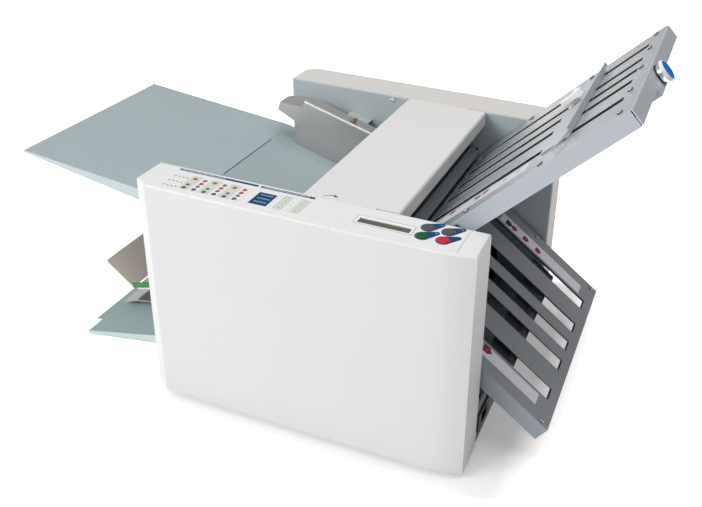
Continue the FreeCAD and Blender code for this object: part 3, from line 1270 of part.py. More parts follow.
def make_power_inlet():
    """Mains inlet with its flange, socket well and three pins."""
    flange = box(BASE_X1, INLET_Y - INLET_W / 2, INLET_Z - INLET_H / 2,
                 BASE_X1 + 2.5, INLET_Y + INLET_W / 2, INLET_Z + INLET_H / 2)
    body = box(BASE_X1 - INLET_DEPTH, INLET_Y - INLET_W / 2 + 3, INLET_Z - INLET_H / 2 + 3,
               BASE_X1, INLET_Y + INLET_W / 2 - 3, INLET_Z + INLET_H / 2 - 3)
    well = box(BASE_X1 - INLET_DEPTH + 5, INLET_Y - SOCKET_W / 2, INLET_Z - SOCKET_H / 2,
               BASE_X1 + 9, INLET_Y + SOCKET_W / 2, INLET_Z + SOCKET_H / 2)
    pins = [box(BASE_X1 - INLET_DEPTH + 4, INLET_Y + dy - 1, INLET_Z + dz - 2, BASE_X1 - 6,
                INLET_Y + dy + 1, INLET_Z + dz + 2) for dy, dz in ((-7, -2), (0, 2), (7, -2))]
    return join([join([flange, body]).cut(well)] + pins)


def make_power_switch():
    """Rocker that pivots in the end panel."""
    y0 = ROCKER_Y - ROCKER_W / 2
    half = ROCKER_H / 2 - 0.4
    points = [(BASE_X1 - 9, INLET_Z - half * 0.6), (BASE_X1 + 1.5, INLET_Z - half), (BASE_X1 + 3.4, INLET_Z - half),
              (BASE_X1 + 2.2, INLET_Z), (BASE_X1 + 3.4, INLET_Z + half), (BASE_X1 + 1.5, INLET_Z + half),
              (BASE_X1 - 9, INLET_Z + half * 0.6)]
    barrel = rod(BASE_X1 - BASE_T, INLET_Z, PIVOT_BARREL_R, y0 - ROCKER_GAP / 2, y0 + ROCKER_W + ROCKER_GAP / 2)
    return join([profile(points, y0, y0 + ROCKER_W), barrel])


# ---------------------------------------------------------------- export
def export(name, shapes):
    """Writes one node, moved to the machine's own origin."""
    shapes = shapes if isinstance(shapes, list) else [shapes]
    shape = Part.makeCompound(shapes) if len(shapes) > 1 else shapes[0]
    moved = shape.copy()
    moved.translate(V(X_SHIFT, 0, 0))
    if moved.ShapeType == "Compound" and len(moved.Solids) == 1:
        moved = moved.Solids[0]
    moved.exportStep("parts/" + name + ".step")


def main():
    os.makedirs("parts", exist_ok=True)
    export("base_plate", make_base_plate())
    export("feet", make_feet())
    export("front_side_frame", pivot_holes(mirror_y(make_side_frame())))
    export("rear_side_frame", pivot_holes(make_rear_side_frame()))
    export("tie_bars", make_tie_bars())
    export("machine_screws", make_machine_screws())
    export("shaft_bushes", make_shaft_bushes())
    export("front_housing", make_front_housing())
    export("rear_housing", make_rear_housing())
    export("top_cover", make_top_cover())
    export("cover_hinge_pins", make_cover_hinge_pins())
    export("feed_table", make_feed_table())
    export("lift_plate", make_lift_plate())
    export("lift_springs", make_lift_springs())
    export("rear_side_guide", make_rear_side_guide())
    export("front_side_guide", make_front_side_guide())
    export("guide_lock_knob", make_guide_lock_knob())
    export("frame_brackets", make_frame_brackets())
    export("stack_wall", make_stack_wall())
    export("separator_pad", make_separator_pad())
    export("feed_roller", make_feed_roller())
    export("feed_shaft", make_feed_shaft())
    for number in (1, 2, 3, 4):
        export("fold_roller_%d" % number, make_fold_roller(number))
        export("roller_gear_%d" % number, make_roller_gear(number))
    export("transport_shaft", make_transport_shaft())
    export("exit_shaft", make_exit_shaft())
    export("transport_belts", make_transport_belts())
    export("exit_chute", make_exit_chute())
    export("drive_motor", make_drive_motor())
    export("motor_pulley", make_motor_pulley())
    export("drive_belts", make_drive_belts())
    export("upper_plate_top", end_hole(make_upper_plate_top()))
    export("upper_plate_bottom", make_upper_plate_bottom())
    export("upper_knob_bracket", make_upper_knob_bracket())
    export("upper_plate_screws", make_plate_screws(upper_screw_places(), in_upper))
    export("upper_paper_stop", make_upper_paper_stop())
    export("upper_stop_clamp", make_upper_stop_clamp())
    export("upper_adjust_knob", make_upper_adjust_knob())
    export("lower_plate_top", make_lower_plate_top())
    export("lower_plate_bottom", make_lower_plate_bottom())
    export("lower_plate_screws", make_plate_screws(lower_screw_places(), in_lower))
    export("lower_paper_stop", make_lower_paper_stop())
    export("delivery_tray", make_delivery_tray())
    export("stacker_plate", make_stacker_plate())
    export("exit_deflector", make_exit_deflector())
    export("control_overlay", make_control_overlay())
    export("display_window", make_display_window())
    export("control_board", make_control_board())
    for name in button_places():
        export(name, make_button(name))
    export("power_inlet", make_power_inlet())
    export("power_switch", make_power_switch())


main()
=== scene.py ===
"""Desk paper folding machine: its camera, light and finishes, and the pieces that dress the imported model."""
import bpy
import bmesh
import json
import math
from mathutils import Matrix, Vector


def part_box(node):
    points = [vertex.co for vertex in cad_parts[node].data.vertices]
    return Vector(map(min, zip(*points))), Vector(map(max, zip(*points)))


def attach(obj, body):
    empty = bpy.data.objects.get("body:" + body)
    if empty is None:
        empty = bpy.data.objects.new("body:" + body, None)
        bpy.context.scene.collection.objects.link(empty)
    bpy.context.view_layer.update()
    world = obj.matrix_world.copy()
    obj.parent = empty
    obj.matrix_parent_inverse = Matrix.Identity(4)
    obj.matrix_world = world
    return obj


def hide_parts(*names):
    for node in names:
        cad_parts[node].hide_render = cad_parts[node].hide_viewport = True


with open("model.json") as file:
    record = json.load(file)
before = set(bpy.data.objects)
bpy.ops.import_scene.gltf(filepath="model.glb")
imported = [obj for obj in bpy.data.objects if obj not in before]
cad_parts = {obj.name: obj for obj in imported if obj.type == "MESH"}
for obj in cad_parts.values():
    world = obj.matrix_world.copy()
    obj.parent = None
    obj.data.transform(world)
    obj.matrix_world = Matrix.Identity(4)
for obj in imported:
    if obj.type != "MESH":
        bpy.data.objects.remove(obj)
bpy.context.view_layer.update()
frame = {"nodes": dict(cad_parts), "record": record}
scene = bpy.context.scene
MM = 0.001
ACROSS = Vector((0, 1, 0))  # across the machine, towards its far side

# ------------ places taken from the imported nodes
housing_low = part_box("front_housing")[0]
rear_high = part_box("rear_housing")[1]
FEED_END = housing_low.x  # feed end of the two housings


def at(x, y, z):
    """A point given in millimetres: x from the housings' feed end, y from the middle, z from the desk."""
    return Vector((FEED_END + x * MM, y * MM, z * MM))


def level(z):
    """Places flat outlines, drawn from the housings' feed end and the middle, at a height in metres."""
    return Matrix.Translation((FEED_END, 0, z))


def move(u, v, w):
    """A move given in millimetres."""
    return Matrix.Translation((u * MM, v * MM, w * MM))


def with_axes(first, second, third, origin):
    """A place whose own axes point these three ways."""
    matrix = Matrix((first, second, third)).transposed().to_4x4()
    matrix.translation = origin
    return matrix


class Slope:
    """Axes of a sloping sheet: u along it, v across the machine, w out of its top."""

    def __init__(self, x, z, degrees):
        turn = math.radians(degrees)
        self.along = Vector((math.cos(turn), 0, math.sin(turn)))
        out = Vector((-math.sin(turn), 0, math.cos(turn)))
        self.matrix = with_axes(self.along, ACROSS, out, at(x, 0, z))

    def point(self, u, v, w):
        return self.matrix @ Vector((u * MM, v * MM, w * MM))


UPPER = Slope(576.0, 497.5, 43.9)  # upper fold plate, from its outer end
LOWER = Slope(532.8, 58.0, -36.9)  # lower fold plate, from its outer end
TRAY = Slope(-166.0, 7.0, 12.5)  # delivery tray, from its low end
BED = Slope(5.0, 251.38, -16.5)  # feed table, from the joint with the lift plate
UPPER_SLOTS = (-100.0, -39.0, 5.0, 49.0, 110.0)  # middles of the upper plate's slots, across
PANEL = level(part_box("control_overlay")[1].z)  # top of the control panel's sheet
COVER = level(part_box("top_cover")[1].z)  # top of the cover


def linked(name, data):
    """A new object in the scene."""
    thing = bpy.data.objects.new(name, data)
    scene.collection.objects.link(thing)
    return thing


# ------------ camera
CAMERA_PLACE = at(654.4, -993.4, 816.8)
CAMERA_TURNS = (18.601, 25.168, 2.809)  # azimuth, angle down and roll in degrees
SENSOR_WIDTH, FOCAL_LENGTH = 36.0, 44.09
CAMERA_SHIFT = (-0.1285, -0.1417)


def make_camera():
    azimuth, down, roll = (math.radians(turn) for turn in CAMERA_TURNS)
    ahead = math.cos(down)
    look = Vector((-math.sin(azimuth) * ahead, math.cos(azimuth) * ahead, -math.sin(down)))
    right = look.cross(Vector((0, 0, 1))).normalized()
    up = right.cross(look)
    data = bpy.data.cameras.new("camera")
    data.sensor_width = SENSOR_WIDTH
    data.lens = FOCAL_LENGTH
    data.shift_x, data.shift_y = CAMERA_SHIFT
    data.clip_start = 0.05
    data.clip_end = 30.0
    camera = linked("camera", data)
    camera.matrix_world = with_axes(right * math.cos(roll) + up * math.sin(roll),
                                   up * math.cos(roll) - right * math.sin(roll), -look, CAMERA_PLACE)
    scene.camera = camera


# ------------ colours and node helpers
def tone(rgb):
    """A colour given as 0-255 display values, as linear light with alpha."""
    def linear(value):
        share = value / 255.0
        return share / 12.92 if share <= 0.04045 else ((share + 0.055) / 1.055) ** 2.4
    return (*map(linear, rgb), 1.0)


class Wiring:
    """Short calls for placing and joining nodes in one tree."""

    def __init__(self, tree):
        self.tree = tree

    def fill(self, node, sockets):
        """Feeds a node's inputs, by name or number: an output is joined, a plain value is set."""
        for key, value in dict(sockets).items():
            if isinstance(value, bpy.types.NodeSocket):
                self.tree.links.new(value, node.inputs[key])
            else:
                node.inputs[key].default_value = value
        return node

    def add(self, kind, sockets=(), **settings):
        """A node with its settings made and its inputs fed."""
        node = self.tree.nodes.new(kind)
        for name, value in settings.items():
            setattr(node, name, value)
        return self.fill(node, sockets)

    def points(self):
        """Where the surface is, in the object's own axes."""
        return self.add("ShaderNodeTexCoord").outputs["Object"]

    def math(self, operation, *values, clamp=False):
        return self.add("ShaderNodeMath", enumerate(values), operation=operation, use_clamp=clamp).outputs[0]

    def vector(self, operation, *values):
        """A vector sum; a dot product or a length comes out as a number."""
        outputs = self.add("ShaderNodeVectorMath", enumerate(values), operation=operation).outputs
        return outputs["Value" if operation in ("DOT_PRODUCT", "LENGTH") else "Vector"]

    def blend(self, factor, first, second, mode="MIX"):
        return self.add("ShaderNodeMix", {0: factor, 6: first, 7: second}, data_type="RGBA",
                        blend_type=mode).outputs[2]

    def noise(self, place, scale, detail, roughness=0.55):
        return self.add("ShaderNodeTexNoise", {"Vector": place, "Scale": scale, "Detail": detail,
                                               "Roughness": roughness}).outputs["Fac"]

    def span(self, value, low, high, out_low, out_high):
        """Turns the range low to high into the range out_low to out_high."""
        return self.add("ShaderNodeMapRange", enumerate((value, low, high, out_low, out_high))).outputs[0]

    def bump(self, height, strength, distance):
        return self.add("ShaderNodeBump", {"Height": height, "Strength": strength,
                                           "Distance": distance}).outputs["Normal"]


COLOUR, NUMBER, VECTOR = "NodeSocketColor", "NodeSocketFloat", "NodeSocketVector"
WHOLE, GEOMETRY, MATERIAL = "NodeSocketInt", "NodeSocketGeometry", "NodeSocketMaterial"
SKIN = {"Colour": COLOUR, "Roughness": NUMBER, "Normal": VECTOR}
MASK = {"Mask": NUMBER}


def new_group(name, inputs, outputs, kind="ShaderNodeTree"):
    """An empty group; gives the tree, its wiring, what comes in, and the node at its end."""
    tree = bpy.data.node_groups.new(name, kind)
    for in_out, sockets in (("INPUT", inputs), ("OUTPUT", outputs)):
        for label, socket_type in sockets.items():
            tree.interface.new_socket(label, in_out=in_out, socket_type=socket_type)
    w = Wiring(tree)
    return tree, w, w.add("NodeGroupInput").outputs, w.add("NodeGroupOutput")


def paint_film_group():
    """Sprayed or moulded skin: fine orange peel, slow drift of tone and gloss."""
    tree, w, given, end = new_group("paint film", {
        "Colour": COLOUR, "Tone drift": NUMBER, "Grain size": NUMBER, "Grain depth": NUMBER,
        "Gloss low": NUMBER, "Gloss high": NUMBER}, SKIN)
    slow = w.noise(w.points(), 7.0, 4.0)
    fine = w.noise(w.points(), given["Grain size"], 2.0, 0.5)
    darker = w.blend(1.0, given["Colour"], (0.72, 0.72, 0.72, 1.0), "MULTIPLY")
    drift = w.math("MULTIPLY", slow, given["Tone drift"])
    grainy = w.math("MULTIPLY_ADD", w.math("SUBTRACT", fine, 0.5), given["Tone drift"], drift)
    w.fill(end, {"Colour": w.blend(grainy, given["Colour"], darker),
                 "Roughness": w.span(slow, 0.3, 0.7, given["Gloss low"], given["Gloss high"]),
                 "Normal": w.bump(fine, given["Grain depth"], 0.001)})
    return tree


def edge_wear_and_highlight_group():
    """Mask of outer edges, where paint thins and handling polishes it, and where the edge is lightened as a
    painted highlight.
    """
    tree, w, given, end = new_group("edge rub", {"Width": NUMBER, "Break-up": NUMBER}, MASK)
    rounded_off = w.add("ShaderNodeBevel", {"Radius": given["Width"]}, samples=4).outputs["Normal"]
    flat = w.add("ShaderNodeNewGeometry").outputs["True Normal"]
    edge = w.span(w.vector("DOT_PRODUCT", rounded_off, flat), 0.995, 0.80, 0.0, 1.0)
    patchy = w.noise(w.points(), 60.0, 4.0)
    gate = w.span(patchy, 0.35, 0.65, w.math("SUBTRACT", 1.0, given["Break-up"]), 1.0)
    w.fill(end, {"Mask": w.math("MULTIPLY", edge, gate, clamp=True)})
    return tree


def brushed_group():
    """Fine parallel scratches of rolled or brushed sheet."""
    tree, w, given, end = new_group("brushed grain", {
        "Colour": COLOUR, "Stretch": VECTOR, "Depth": NUMBER,
        "Gloss low": NUMBER, "Gloss high": NUMBER}, SKIN)
    lines = w.noise(w.vector("MULTIPLY", w.points(), given["Stretch"]), 24.0, 5.0, 0.7)
    cloud = w.noise(w.points(), 11.0, 3.0)
    dull = w.blend(1.0, given["Colour"], (0.62, 0.62, 0.64, 1.0), "MULTIPLY")
    mixed = w.math("MULTIPLY_ADD", lines, 0.45, w.math("MULTIPLY", cloud, 0.35))
    w.fill(end, {"Colour": w.blend(mixed, given["Colour"], dull),
                 "Roughness": w.span(lines, 0.3, 0.7, given["Gloss low"], given["Gloss high"]),
                 "Normal": w.bump(lines, given["Depth"], 0.0006)})
    return tree


def dust_group():
    """Paper dust that settles on faces that look up."""
    tree, w, given, end = new_group("paper dust", {"Amount": NUMBER}, MASK)
    normal = w.add("ShaderNodeNewGeometry").outputs["Normal"]
    upward = w.span(w.add("ShaderNodeSeparateXYZ", {0: normal}).outputs["Z"], 0.2, 0.9, 0.0, 1.0)
    spots = w.span(w.noise(w.points(), 240.0, 5.0, 0.7), 0.48, 0.7, 0.0, 1.0)
    w.fill(end, {"Mask": w.math("MULTIPLY", w.math("MULTIPLY", upward, spots), given["Amount"], clamp=True)})
    return tree


PAINT_FILM = paint_film_group()
EDGE_WEAR_AND_HIGHLIGHT = edge_wear_and_highlight_group()
BRUSHED = brushed_group()
DUST = dust_group()
DUST_TONE = tone((205, 205, 200))
WORN_LIT_EDGE_WIDTH, WORN_LIT_EDGE_GAPS = 0.0012, 0.5  # width of a worn, painted-highlight edge in metres, and how far it is broken up


def new_material(name, **shader_values):
    """A material with its wiring and its Principled shader; _ stands for a space in the values' names."""
    material = bpy.data.materials.new(name.replace("_", " "))
    material.use_nodes = True
    shader = material.node_tree.nodes["Principled BSDF"]
    for label, value in shader_values.items():
        shader.inputs[label.replace("_", " ")].default_value = value
    return material, Wiring(material.node_tree), shader


# ------------ finishes
FINISH = {}


def coat(w, shader, colour, skin):
    """Joins a surface group's outputs to a shader, with this colour."""
    w.fill(shader, {"Base Color": colour, "Roughness": skin["Roughness"], "Normal": skin["Normal"]})


def painted(name, rgb, drift, grain, depth, gloss, edge=None, dust=0.0, **shader_values):
    """Painted or moulded finish: colour, tone drift, grain size and depth, and its range of gloss;
    edge is the colour of worn edges, lighter also as a painted highlight, dust the amount of paper dust."""
    FINISH[name], w, shader = new_material(name, **shader_values)
    film = w.add("ShaderNodeGroup", {
        "Colour": tone(rgb), "Tone drift": drift, "Grain size": grain, "Grain depth": depth,
        "Gloss low": gloss[0], "Gloss high": gloss[1]}, node_tree=PAINT_FILM).outputs
    skin = film["Colour"]
    if edge:
        # edges lightened for wear and as a painted highlight
        worn_lit_edge = w.add("ShaderNodeGroup", {"Width": WORN_LIT_EDGE_WIDTH, "Break-up": WORN_LIT_EDGE_GAPS}, node_tree=EDGE_WEAR_AND_HIGHLIGHT)
        skin = w.blend(worn_lit_edge.outputs["Mask"], skin, tone(edge))
    if dust:
        flecks = w.add("ShaderNodeGroup", {"Amount": dust}, node_tree=DUST)
        skin = w.blend(flecks.outputs["Mask"], skin, DUST_TONE)
    coat(w, shader, skin, film)


def brushed(name, rgb, stretch, depth, gloss):
    """Bare metal with parallel grain, stretched along the axis with the small number."""
    FINISH[name], w, shader = new_material(name, Metallic=1.0)
    grain = w.add("ShaderNodeGroup", {
        "Colour": tone(rgb), "Stretch": stretch, "Depth": depth, "Gloss low": gloss[0],
        "Gloss high": gloss[1]}, node_tree=BRUSHED).outputs
    coat(w, shader, grain["Colour"], grain)


def paint_shade_and_reflection(name, slope, start, stop, strength, dark):
    """Darkens a painted finish from stop to start along a slope: painted shade and the painted reflection of
    the dark rollers.
    """
    tree = FINISH[name].node_tree
    w = Wiring(tree)
    shader = tree.nodes["Principled BSDF"]
    unshaded = shader.inputs["Base Color"].links[0].from_socket
    along = w.vector("DOT_PRODUCT", w.vector("SUBTRACT", w.points(), slope.matrix.translation), slope.along)
    wander = w.span(w.noise(w.points(), 16.0, 4.0), 0.3, 0.7, -0.012, 0.012)
    share = w.span(w.math("ADD", along, wander), start * MM, stop * MM, strength, 0.0)
    w.fill(shader, {"Base Color": w.blend(share, unshaded, tone(dark))})


# casings
painted("housing", (236, 237, 236), 0.03, 1400, 0.05, (0.42, 0.52))
# painted shade: the rear housing, the same plastic as the front one, painted darker
painted("housing_rear", (222, 219, 216), 0.03, 1400, 0.05, (0.42, 0.52))
painted("cover", (231, 230, 229), 0.03, 1400, 0.04, (0.38, 0.48))

# painted sheet metal
painted("frame", (190, 201, 205), 0.08, 700, 0.04, (0.32, 0.45), dust=0.2)
painted("table", (171, 185, 188), 0.10, 800, 0.04, (0.34, 0.46), edge=(194, 209, 211))
# painted light: the table's front flange, the same sheet painted lighter
painted("table_edge", (204, 219, 221), 0.06, 800, 0.04, (0.32, 0.44), edge=(206, 220, 222))
painted("tray", (154, 176, 176), 0.10, 800, 0.04, (0.34, 0.46), edge=(192, 212, 212))
# painted light: the tray's front flange, the same sheet painted lighter
painted("tray_edge", (206, 226, 224), 0.06, 800, 0.04, (0.32, 0.44), edge=(212, 230, 229))
painted("plate_light", (194, 200, 207), 0.08, 800, 0.04, (0.26, 0.38), edge=(222, 228, 234))
# plate_top: the upper plate's top face, painted darker than the rest of the sheet and darker still towards the
# rollers, as painted shade and reflection
painted("plate_top", (154, 160, 163), 0.12, 800, 0.04, (0.22, 0.34), edge=(214, 220, 226), dust=0.1)
paint_shade_and_reflection("plate_top", UPPER, -350.0, -235.0, 0.82, (26, 28, 31))
painted("plate_dark", (159, 162, 167), 0.12, 800, 0.05, (0.34, 0.46), edge=(178, 183, 188), dust=0.12)
painted("plate_side", (156, 163, 170), 0.10, 800, 0.05, (0.34, 0.46), edge=(176, 182, 188))
# painted shade: near-black for the upper plate's slot walls, flange ends and inner face
painted("slot_black", (24, 25, 27), 0.2, 400, 0.05, (0.6, 0.8))
# painted shade: dark for the lower plate's slot walls and inner face, and its stop's part under the plate
painted("slot_dark", (66, 69, 72), 0.2, 400, 0.05, (0.5, 0.7))
# painted highlight: the light rims along the upper plate's slots
painted("slot_rim", (206, 212, 217), 0.06, 800, 0.04, (0.3, 0.42))
painted("stop_grey", (176, 181, 185), 0.12, 800, 0.04, (0.3, 0.42), edge=(186, 192, 196))
painted("stop_dark", (98, 102, 106), 0.15, 800, 0.05, (0.36, 0.5))
painted("stacker_grey", (190, 191, 192), 0.08, 900, 0.04, (0.3, 0.42))
painted("roller_guard", (126, 130, 135), 0.12, 800, 0.04, (0.34, 0.46))
painted("bracket_black", (40, 42, 45), 0.2, 800, 0.05, (0.35, 0.5))
painted("motor_black", (40, 41, 43), 0.2, 800, 0.08, (0.35, 0.5))

# bare metal
brushed("zinc", (178, 178, 176), (40, 1, 40), 0.05, (0.24, 0.42))
brushed("zinc_screw", (232, 233, 236), (1, 1, 1), 0.03, (0.18, 0.32))
# painted shade: the dark sides of the zinc screws
brushed("screw_side", (96, 98, 101), (1, 1, 1), 0.03, (0.4, 0.5))
brushed("gear_steel", (168, 168, 166), (1, 60, 1), 0.08, (0.2, 0.36))
brushed("guide_steel", (222, 219, 217), (2, 40, 40), 0.06, (0.3, 0.45))

# rubber and plastic
painted("roller_rubber", (44, 46, 49), 0.3, 1800, 0.10, (0.55, 0.75), dust=0.1)
painted("belt_rubber", (34, 34, 35), 0.3, 1200, 0.12, (0.6, 0.8), dust=0.3)
painted("foot_rubber", (30, 30, 30), 0.3, 900, 0.12, (0.6, 0.8))
painted("pad_rubber", (84, 84, 86), 0.3, 1600, 0.10, (0.55, 0.75), dust=0.15)
painted("black_plastic", (30, 31, 33), 0.2, 1500, 0.08, (0.4, 0.55))
painted("bush_plastic", (206, 200, 182), 0.1, 900, 0.04, (0.35, 0.5))
painted("board_green", (40, 96, 58), 0.2, 500, 0.05, (0.3, 0.45))
painted("deflector", (248, 233, 220), 0.12, 700, 0.05, (0.32, 0.46))
painted("knob_beige", (196, 186, 166), 0.1, 1200, 0.05, (0.4, 0.5))
painted("knob_blue", (0, 128, 218), 0.08, 1500, 0.03, (0.5, 0.6), Specular_IOR_Level=0.15)
painted("knob_white", (232, 234, 236), 0.04, 1500, 0.03, (0.3, 0.4))
painted("lever_white", (250, 250, 250), 0.06, 1500, 0.03, (0.32, 0.42))
painted("lever_green", (46, 128, 60), 0.1, 1500, 0.05, (0.3, 0.42))
for hue, rgb in (("grey", (80, 82, 88)), ("green", (8, 90, 44)), ("red", (210, 24, 54))):
    painted("button_" + hue, rgb, 0.1, 1500, 0.05, (0.42, 0.52), Specular_IOR_Level=0.3)

# printed sheets, strips and inks
painted("print_film", (238, 238, 238), 0.02, 2200, 0.02, (0.28, 0.36))
painted("display_tint", (94, 86, 76), 0.15, 500, 0.01, (0.12, 0.2))
painted("display_edge", (248, 248, 248), 0.02, 900, 0.02, (0.3, 0.4))
painted("strip_white", (252, 248, 255), 0.03, 900, 0.01, (0.3, 0.4))
painted("strip_grey", (206, 210, 216), 0.05, 900, 0.01, (0.34, 0.46))
painted("ink_silver", (150, 162, 178), 0.03, 900, 0.01, (0.3, 0.4))
painted("ink_white", (232, 234, 236), 0.03, 900, 0.01, (0.3, 0.4))
painted("ink_pale_green", (214, 220, 206), 0.05, 900, 0.01, (0.3, 0.4))
for hue, rgb in (("blue", (14, 36, 84)), ("green", (24, 52, 52)), ("red", (168, 26, 54)),
                 ("grey", (176, 178, 180))):
    painted("ink_" + hue, rgb, 0.1, 900, 0.01, (0.3, 0.4))
painted("ink_black", (30, 30, 34), 0.1, 900, 0.01, (0.35, 0.45))
painted("ink_crimson", (158, 18, 52), 0.1, 900, 0.01, (0.45, 0.55))
painted("ink_navy", (16, 70, 112), 0.1, 900, 0.01, (0.5, 0.6), Specular_IOR_Level=0.2)

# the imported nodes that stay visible, by finish
NODES_OF_FINISH = {
    "frame": ("front_side_frame", "rear_side_frame"),
    "zinc": ("tie_bars", "stack_wall", "exit_chute"),
    "zinc_screw": ("machine_screws", "cover_hinge_pins"),
    "gear_steel": ("feed_shaft", "transport_shaft", "exit_shaft", "motor_pulley", "lift_springs",
                   *(f"roller_gear_{i}" for i in range(1, 5))),
    "guide_steel": ("front_side_guide",),
    "roller_rubber": ("separator_pad", "feed_roller", *(f"fold_roller_{i}" for i in range(1, 5))),
    "belt_rubber": ("transport_belts", "drive_belts"),
    "foot_rubber": ("feet",),
    "bush_plastic": ("shaft_bushes",),
    "knob_beige": ("guide_lock_knob",),
    "motor_black": ("drive_motor",),
    "board_green": ("control_board",),
    "print_film": ("control_overlay",),
    "display_tint": ("display_window",),
}


def finish_nodes():
    """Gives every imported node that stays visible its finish."""
    for finish, nodes in NODES_OF_FINISH.items():
        for node in nodes:
            for slot in frame["nodes"][node].material_slots:
                slot.material = FINISH[finish]


# ------------ meshes and pieces
WELD = 2e-6  # points closer than this are one, in metres
FLAT_WITHIN = math.radians(0.4)  # faces that turn less than this become one
SHARP_OVER = math.radians(30)  # edges that turn more than this are rounded
SMOOTH_UNDER = math.radians(32)  # edges that turn less than this are shaded smooth
FACE_WEIGHT = 80  # how firmly large flat faces keep their own normals


def body_of(node):
    """Body that a node rides on."""
    bodies = frame["record"]["behaviour"]["bodies"]
    return next(body for body, members in bodies.items() if node in members)


def mesh_of(bm):
    """A bmesh as a mesh."""
    mesh = bpy.data.meshes.new("shape")
    bm.to_mesh(mesh)
    bm.free()
    return mesh


def mesh_from(build, *values, **settings):
    """The mesh that a building function makes."""
    bm = bmesh.new()
    build(bm, *values, **settings)
    return mesh_of(bm)


def modified(mesh, kind, set_up):
    """The plain mesh that comes out of one modifier."""
    holder = linked("holder", mesh)
    set_up(holder.modifiers.new("modifier", kind))
    graph = bpy.context.evaluated_depsgraph_get()
    result = bpy.data.meshes.new_from_object(holder.evaluated_get(graph))
    bpy.data.objects.remove(holder)
    return result


def keep_flat_normals(modifier):
    """Sets up a weighted normal modifier."""
    modifier.keep_sharp = True
    modifier.weight = FACE_WEIGHT


def make_piece(name, bm, body, finishes):
    """Smooths a bmesh by angle and makes it the piece of a body; its place is already in its points."""
    mesh = mesh_of(bm)
    for polygon in mesh.polygons:
        polygon.use_smooth = True
    mesh.set_sharp_from_angle(angle=SMOOTH_UNDER)
    mesh = modified(mesh, "WEIGHTED_NORMAL", keep_flat_normals)
    mesh.name = name
    for finish in finishes:
        mesh.materials.append(FINISH[finish])
    piece = linked(name, mesh)
    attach(piece, body)
    return piece


def dressed(node, *finishes, bevel=0.0, segments=2, paint_faces=None):
    """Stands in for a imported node, with rounded edges; paint_faces gives a face the number of its finish."""
    bm = bmesh.new()
    bm.from_mesh(frame["nodes"][node].data)
    bmesh.ops.remove_doubles(bm, verts=bm.verts, dist=WELD)
    bmesh.ops.dissolve_limit(bm, angle_limit=FLAT_WITHIN, verts=bm.verts, edges=bm.edges)
    if bevel:
        edges = [e for e in bm.edges if len(e.link_faces) == 2 and e.calc_face_angle(0.0) > SHARP_OVER]
        bmesh.ops.bevel(bm, geom=edges, offset=bevel * MM, segments=segments, profile=0.5, affect="EDGES",
                        clamp_overlap=True)
    if paint_faces:
        for face in bm.faces:
            face.material_index = int(paint_faces(face))
    piece = make_piece(node + "_finished", bm, body_of(node), finishes)
    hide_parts(node)


def gather(name, body, parts):
    """Joins meshes, each given with its own finishes, into one piece that rides on a body."""
    bm = bmesh.new()
    finishes = []
    for mesh, *own in parts:
        finishes += [finish for finish in own if finish not in finishes]
        first = len(bm.faces)
        bm.from_mesh(mesh)
        bm.faces.ensure_lookup_table()
        for face in bm.faces[first:]:
            face.material_index = finishes.index(own[face.material_index if len(own) > 1 else 0])
    return make_piece(name, bm, body, finishes)


# ------------ outlines, in metres from sizes in millimetres
def arc(u, v, radius, start, sweep, steps):
    """Points along an arc, with both its ends; the angles are in radians."""
    turns = [start + sweep * i / steps for i in range(steps + 1)]
    return [((u + radius * math.cos(turn)) * MM, (v + radius * math.sin(turn)) * MM) for turn in turns]


def circle(u, v, radius, count):
    return arc(u, v, radius, 0, 2 * math.pi, count)[:-1]


def rectangle(u0, v0, u1, v1):
    return [(u0 * MM, v0 * MM), (u1 * MM, v0 * MM), (u1 * MM, v1 * MM), (u0 * MM, v1 * MM)]


def rounded(u0, v0, u1, v1, radius):
    """A rectangle with round corners."""
    corners = ((u1 - radius, v1 - radius), (u0 + radius, v1 - radius), (u0 + radius, v0 + radius),
               (u1 - radius, v0 + radius))
    quarter = math.pi / 2
    return [point for i, (u, v) in enumerate(corners) for point in arc(u, v, radius, i * quarter, quarter, 5)]


def teardrop(x0, y0, r0, x1, y1, r1):
    """Outline round a large circle and a small one."""
    heading = math.atan2(y1 - y0, x1 - x0)
    lean = math.acos((r0 - r1) / math.hypot(x1 - x0, y1 - y0))
    return (arc(x0, y0, r0, heading + lean, 2 * math.pi - 2 * lean, 20)
            + arc(x1, y1, r1, heading - lean, 2 * lean, 20))


def pennant(x, y, size):
    """Small five-sided mark that points along x."""
    return [((x + size * u) * MM, (y + size * v) * MM)
            for u, v in ((-0.5, -0.5), (0.15, -0.5), (0.6, 0.0), (0.15, 0.5), (-0.5, 0.5))]


# ------------ solid forms
def band(bm, first, second):
    """Faces between two loops of points; a loop may be a single point."""
    faces = []
    count = max(len(first), len(second))
    for i in range(count):
        j = (i + 1) % count
        corners = [first[k % len(first)] for k in (i, j)] + [second[k % len(second)] for k in (j, i)]
        faces.append(bm.faces.new(list(dict.fromkeys(corners))))
    return faces


def prism(bm, points, lift, matrix=Matrix()):
    """A flat outline with thickness lift, in metres, along local w."""
    low, high = ([bm.verts.new(matrix @ Vector((u, v, w))) for u, v in points] for w in (0.0, lift))
    faces = [bm.faces.new(high), bm.faces.new(list(reversed(low)))] + band(bm, low, high)
    bmesh.ops.recalc_face_normals(bm, faces=faces)


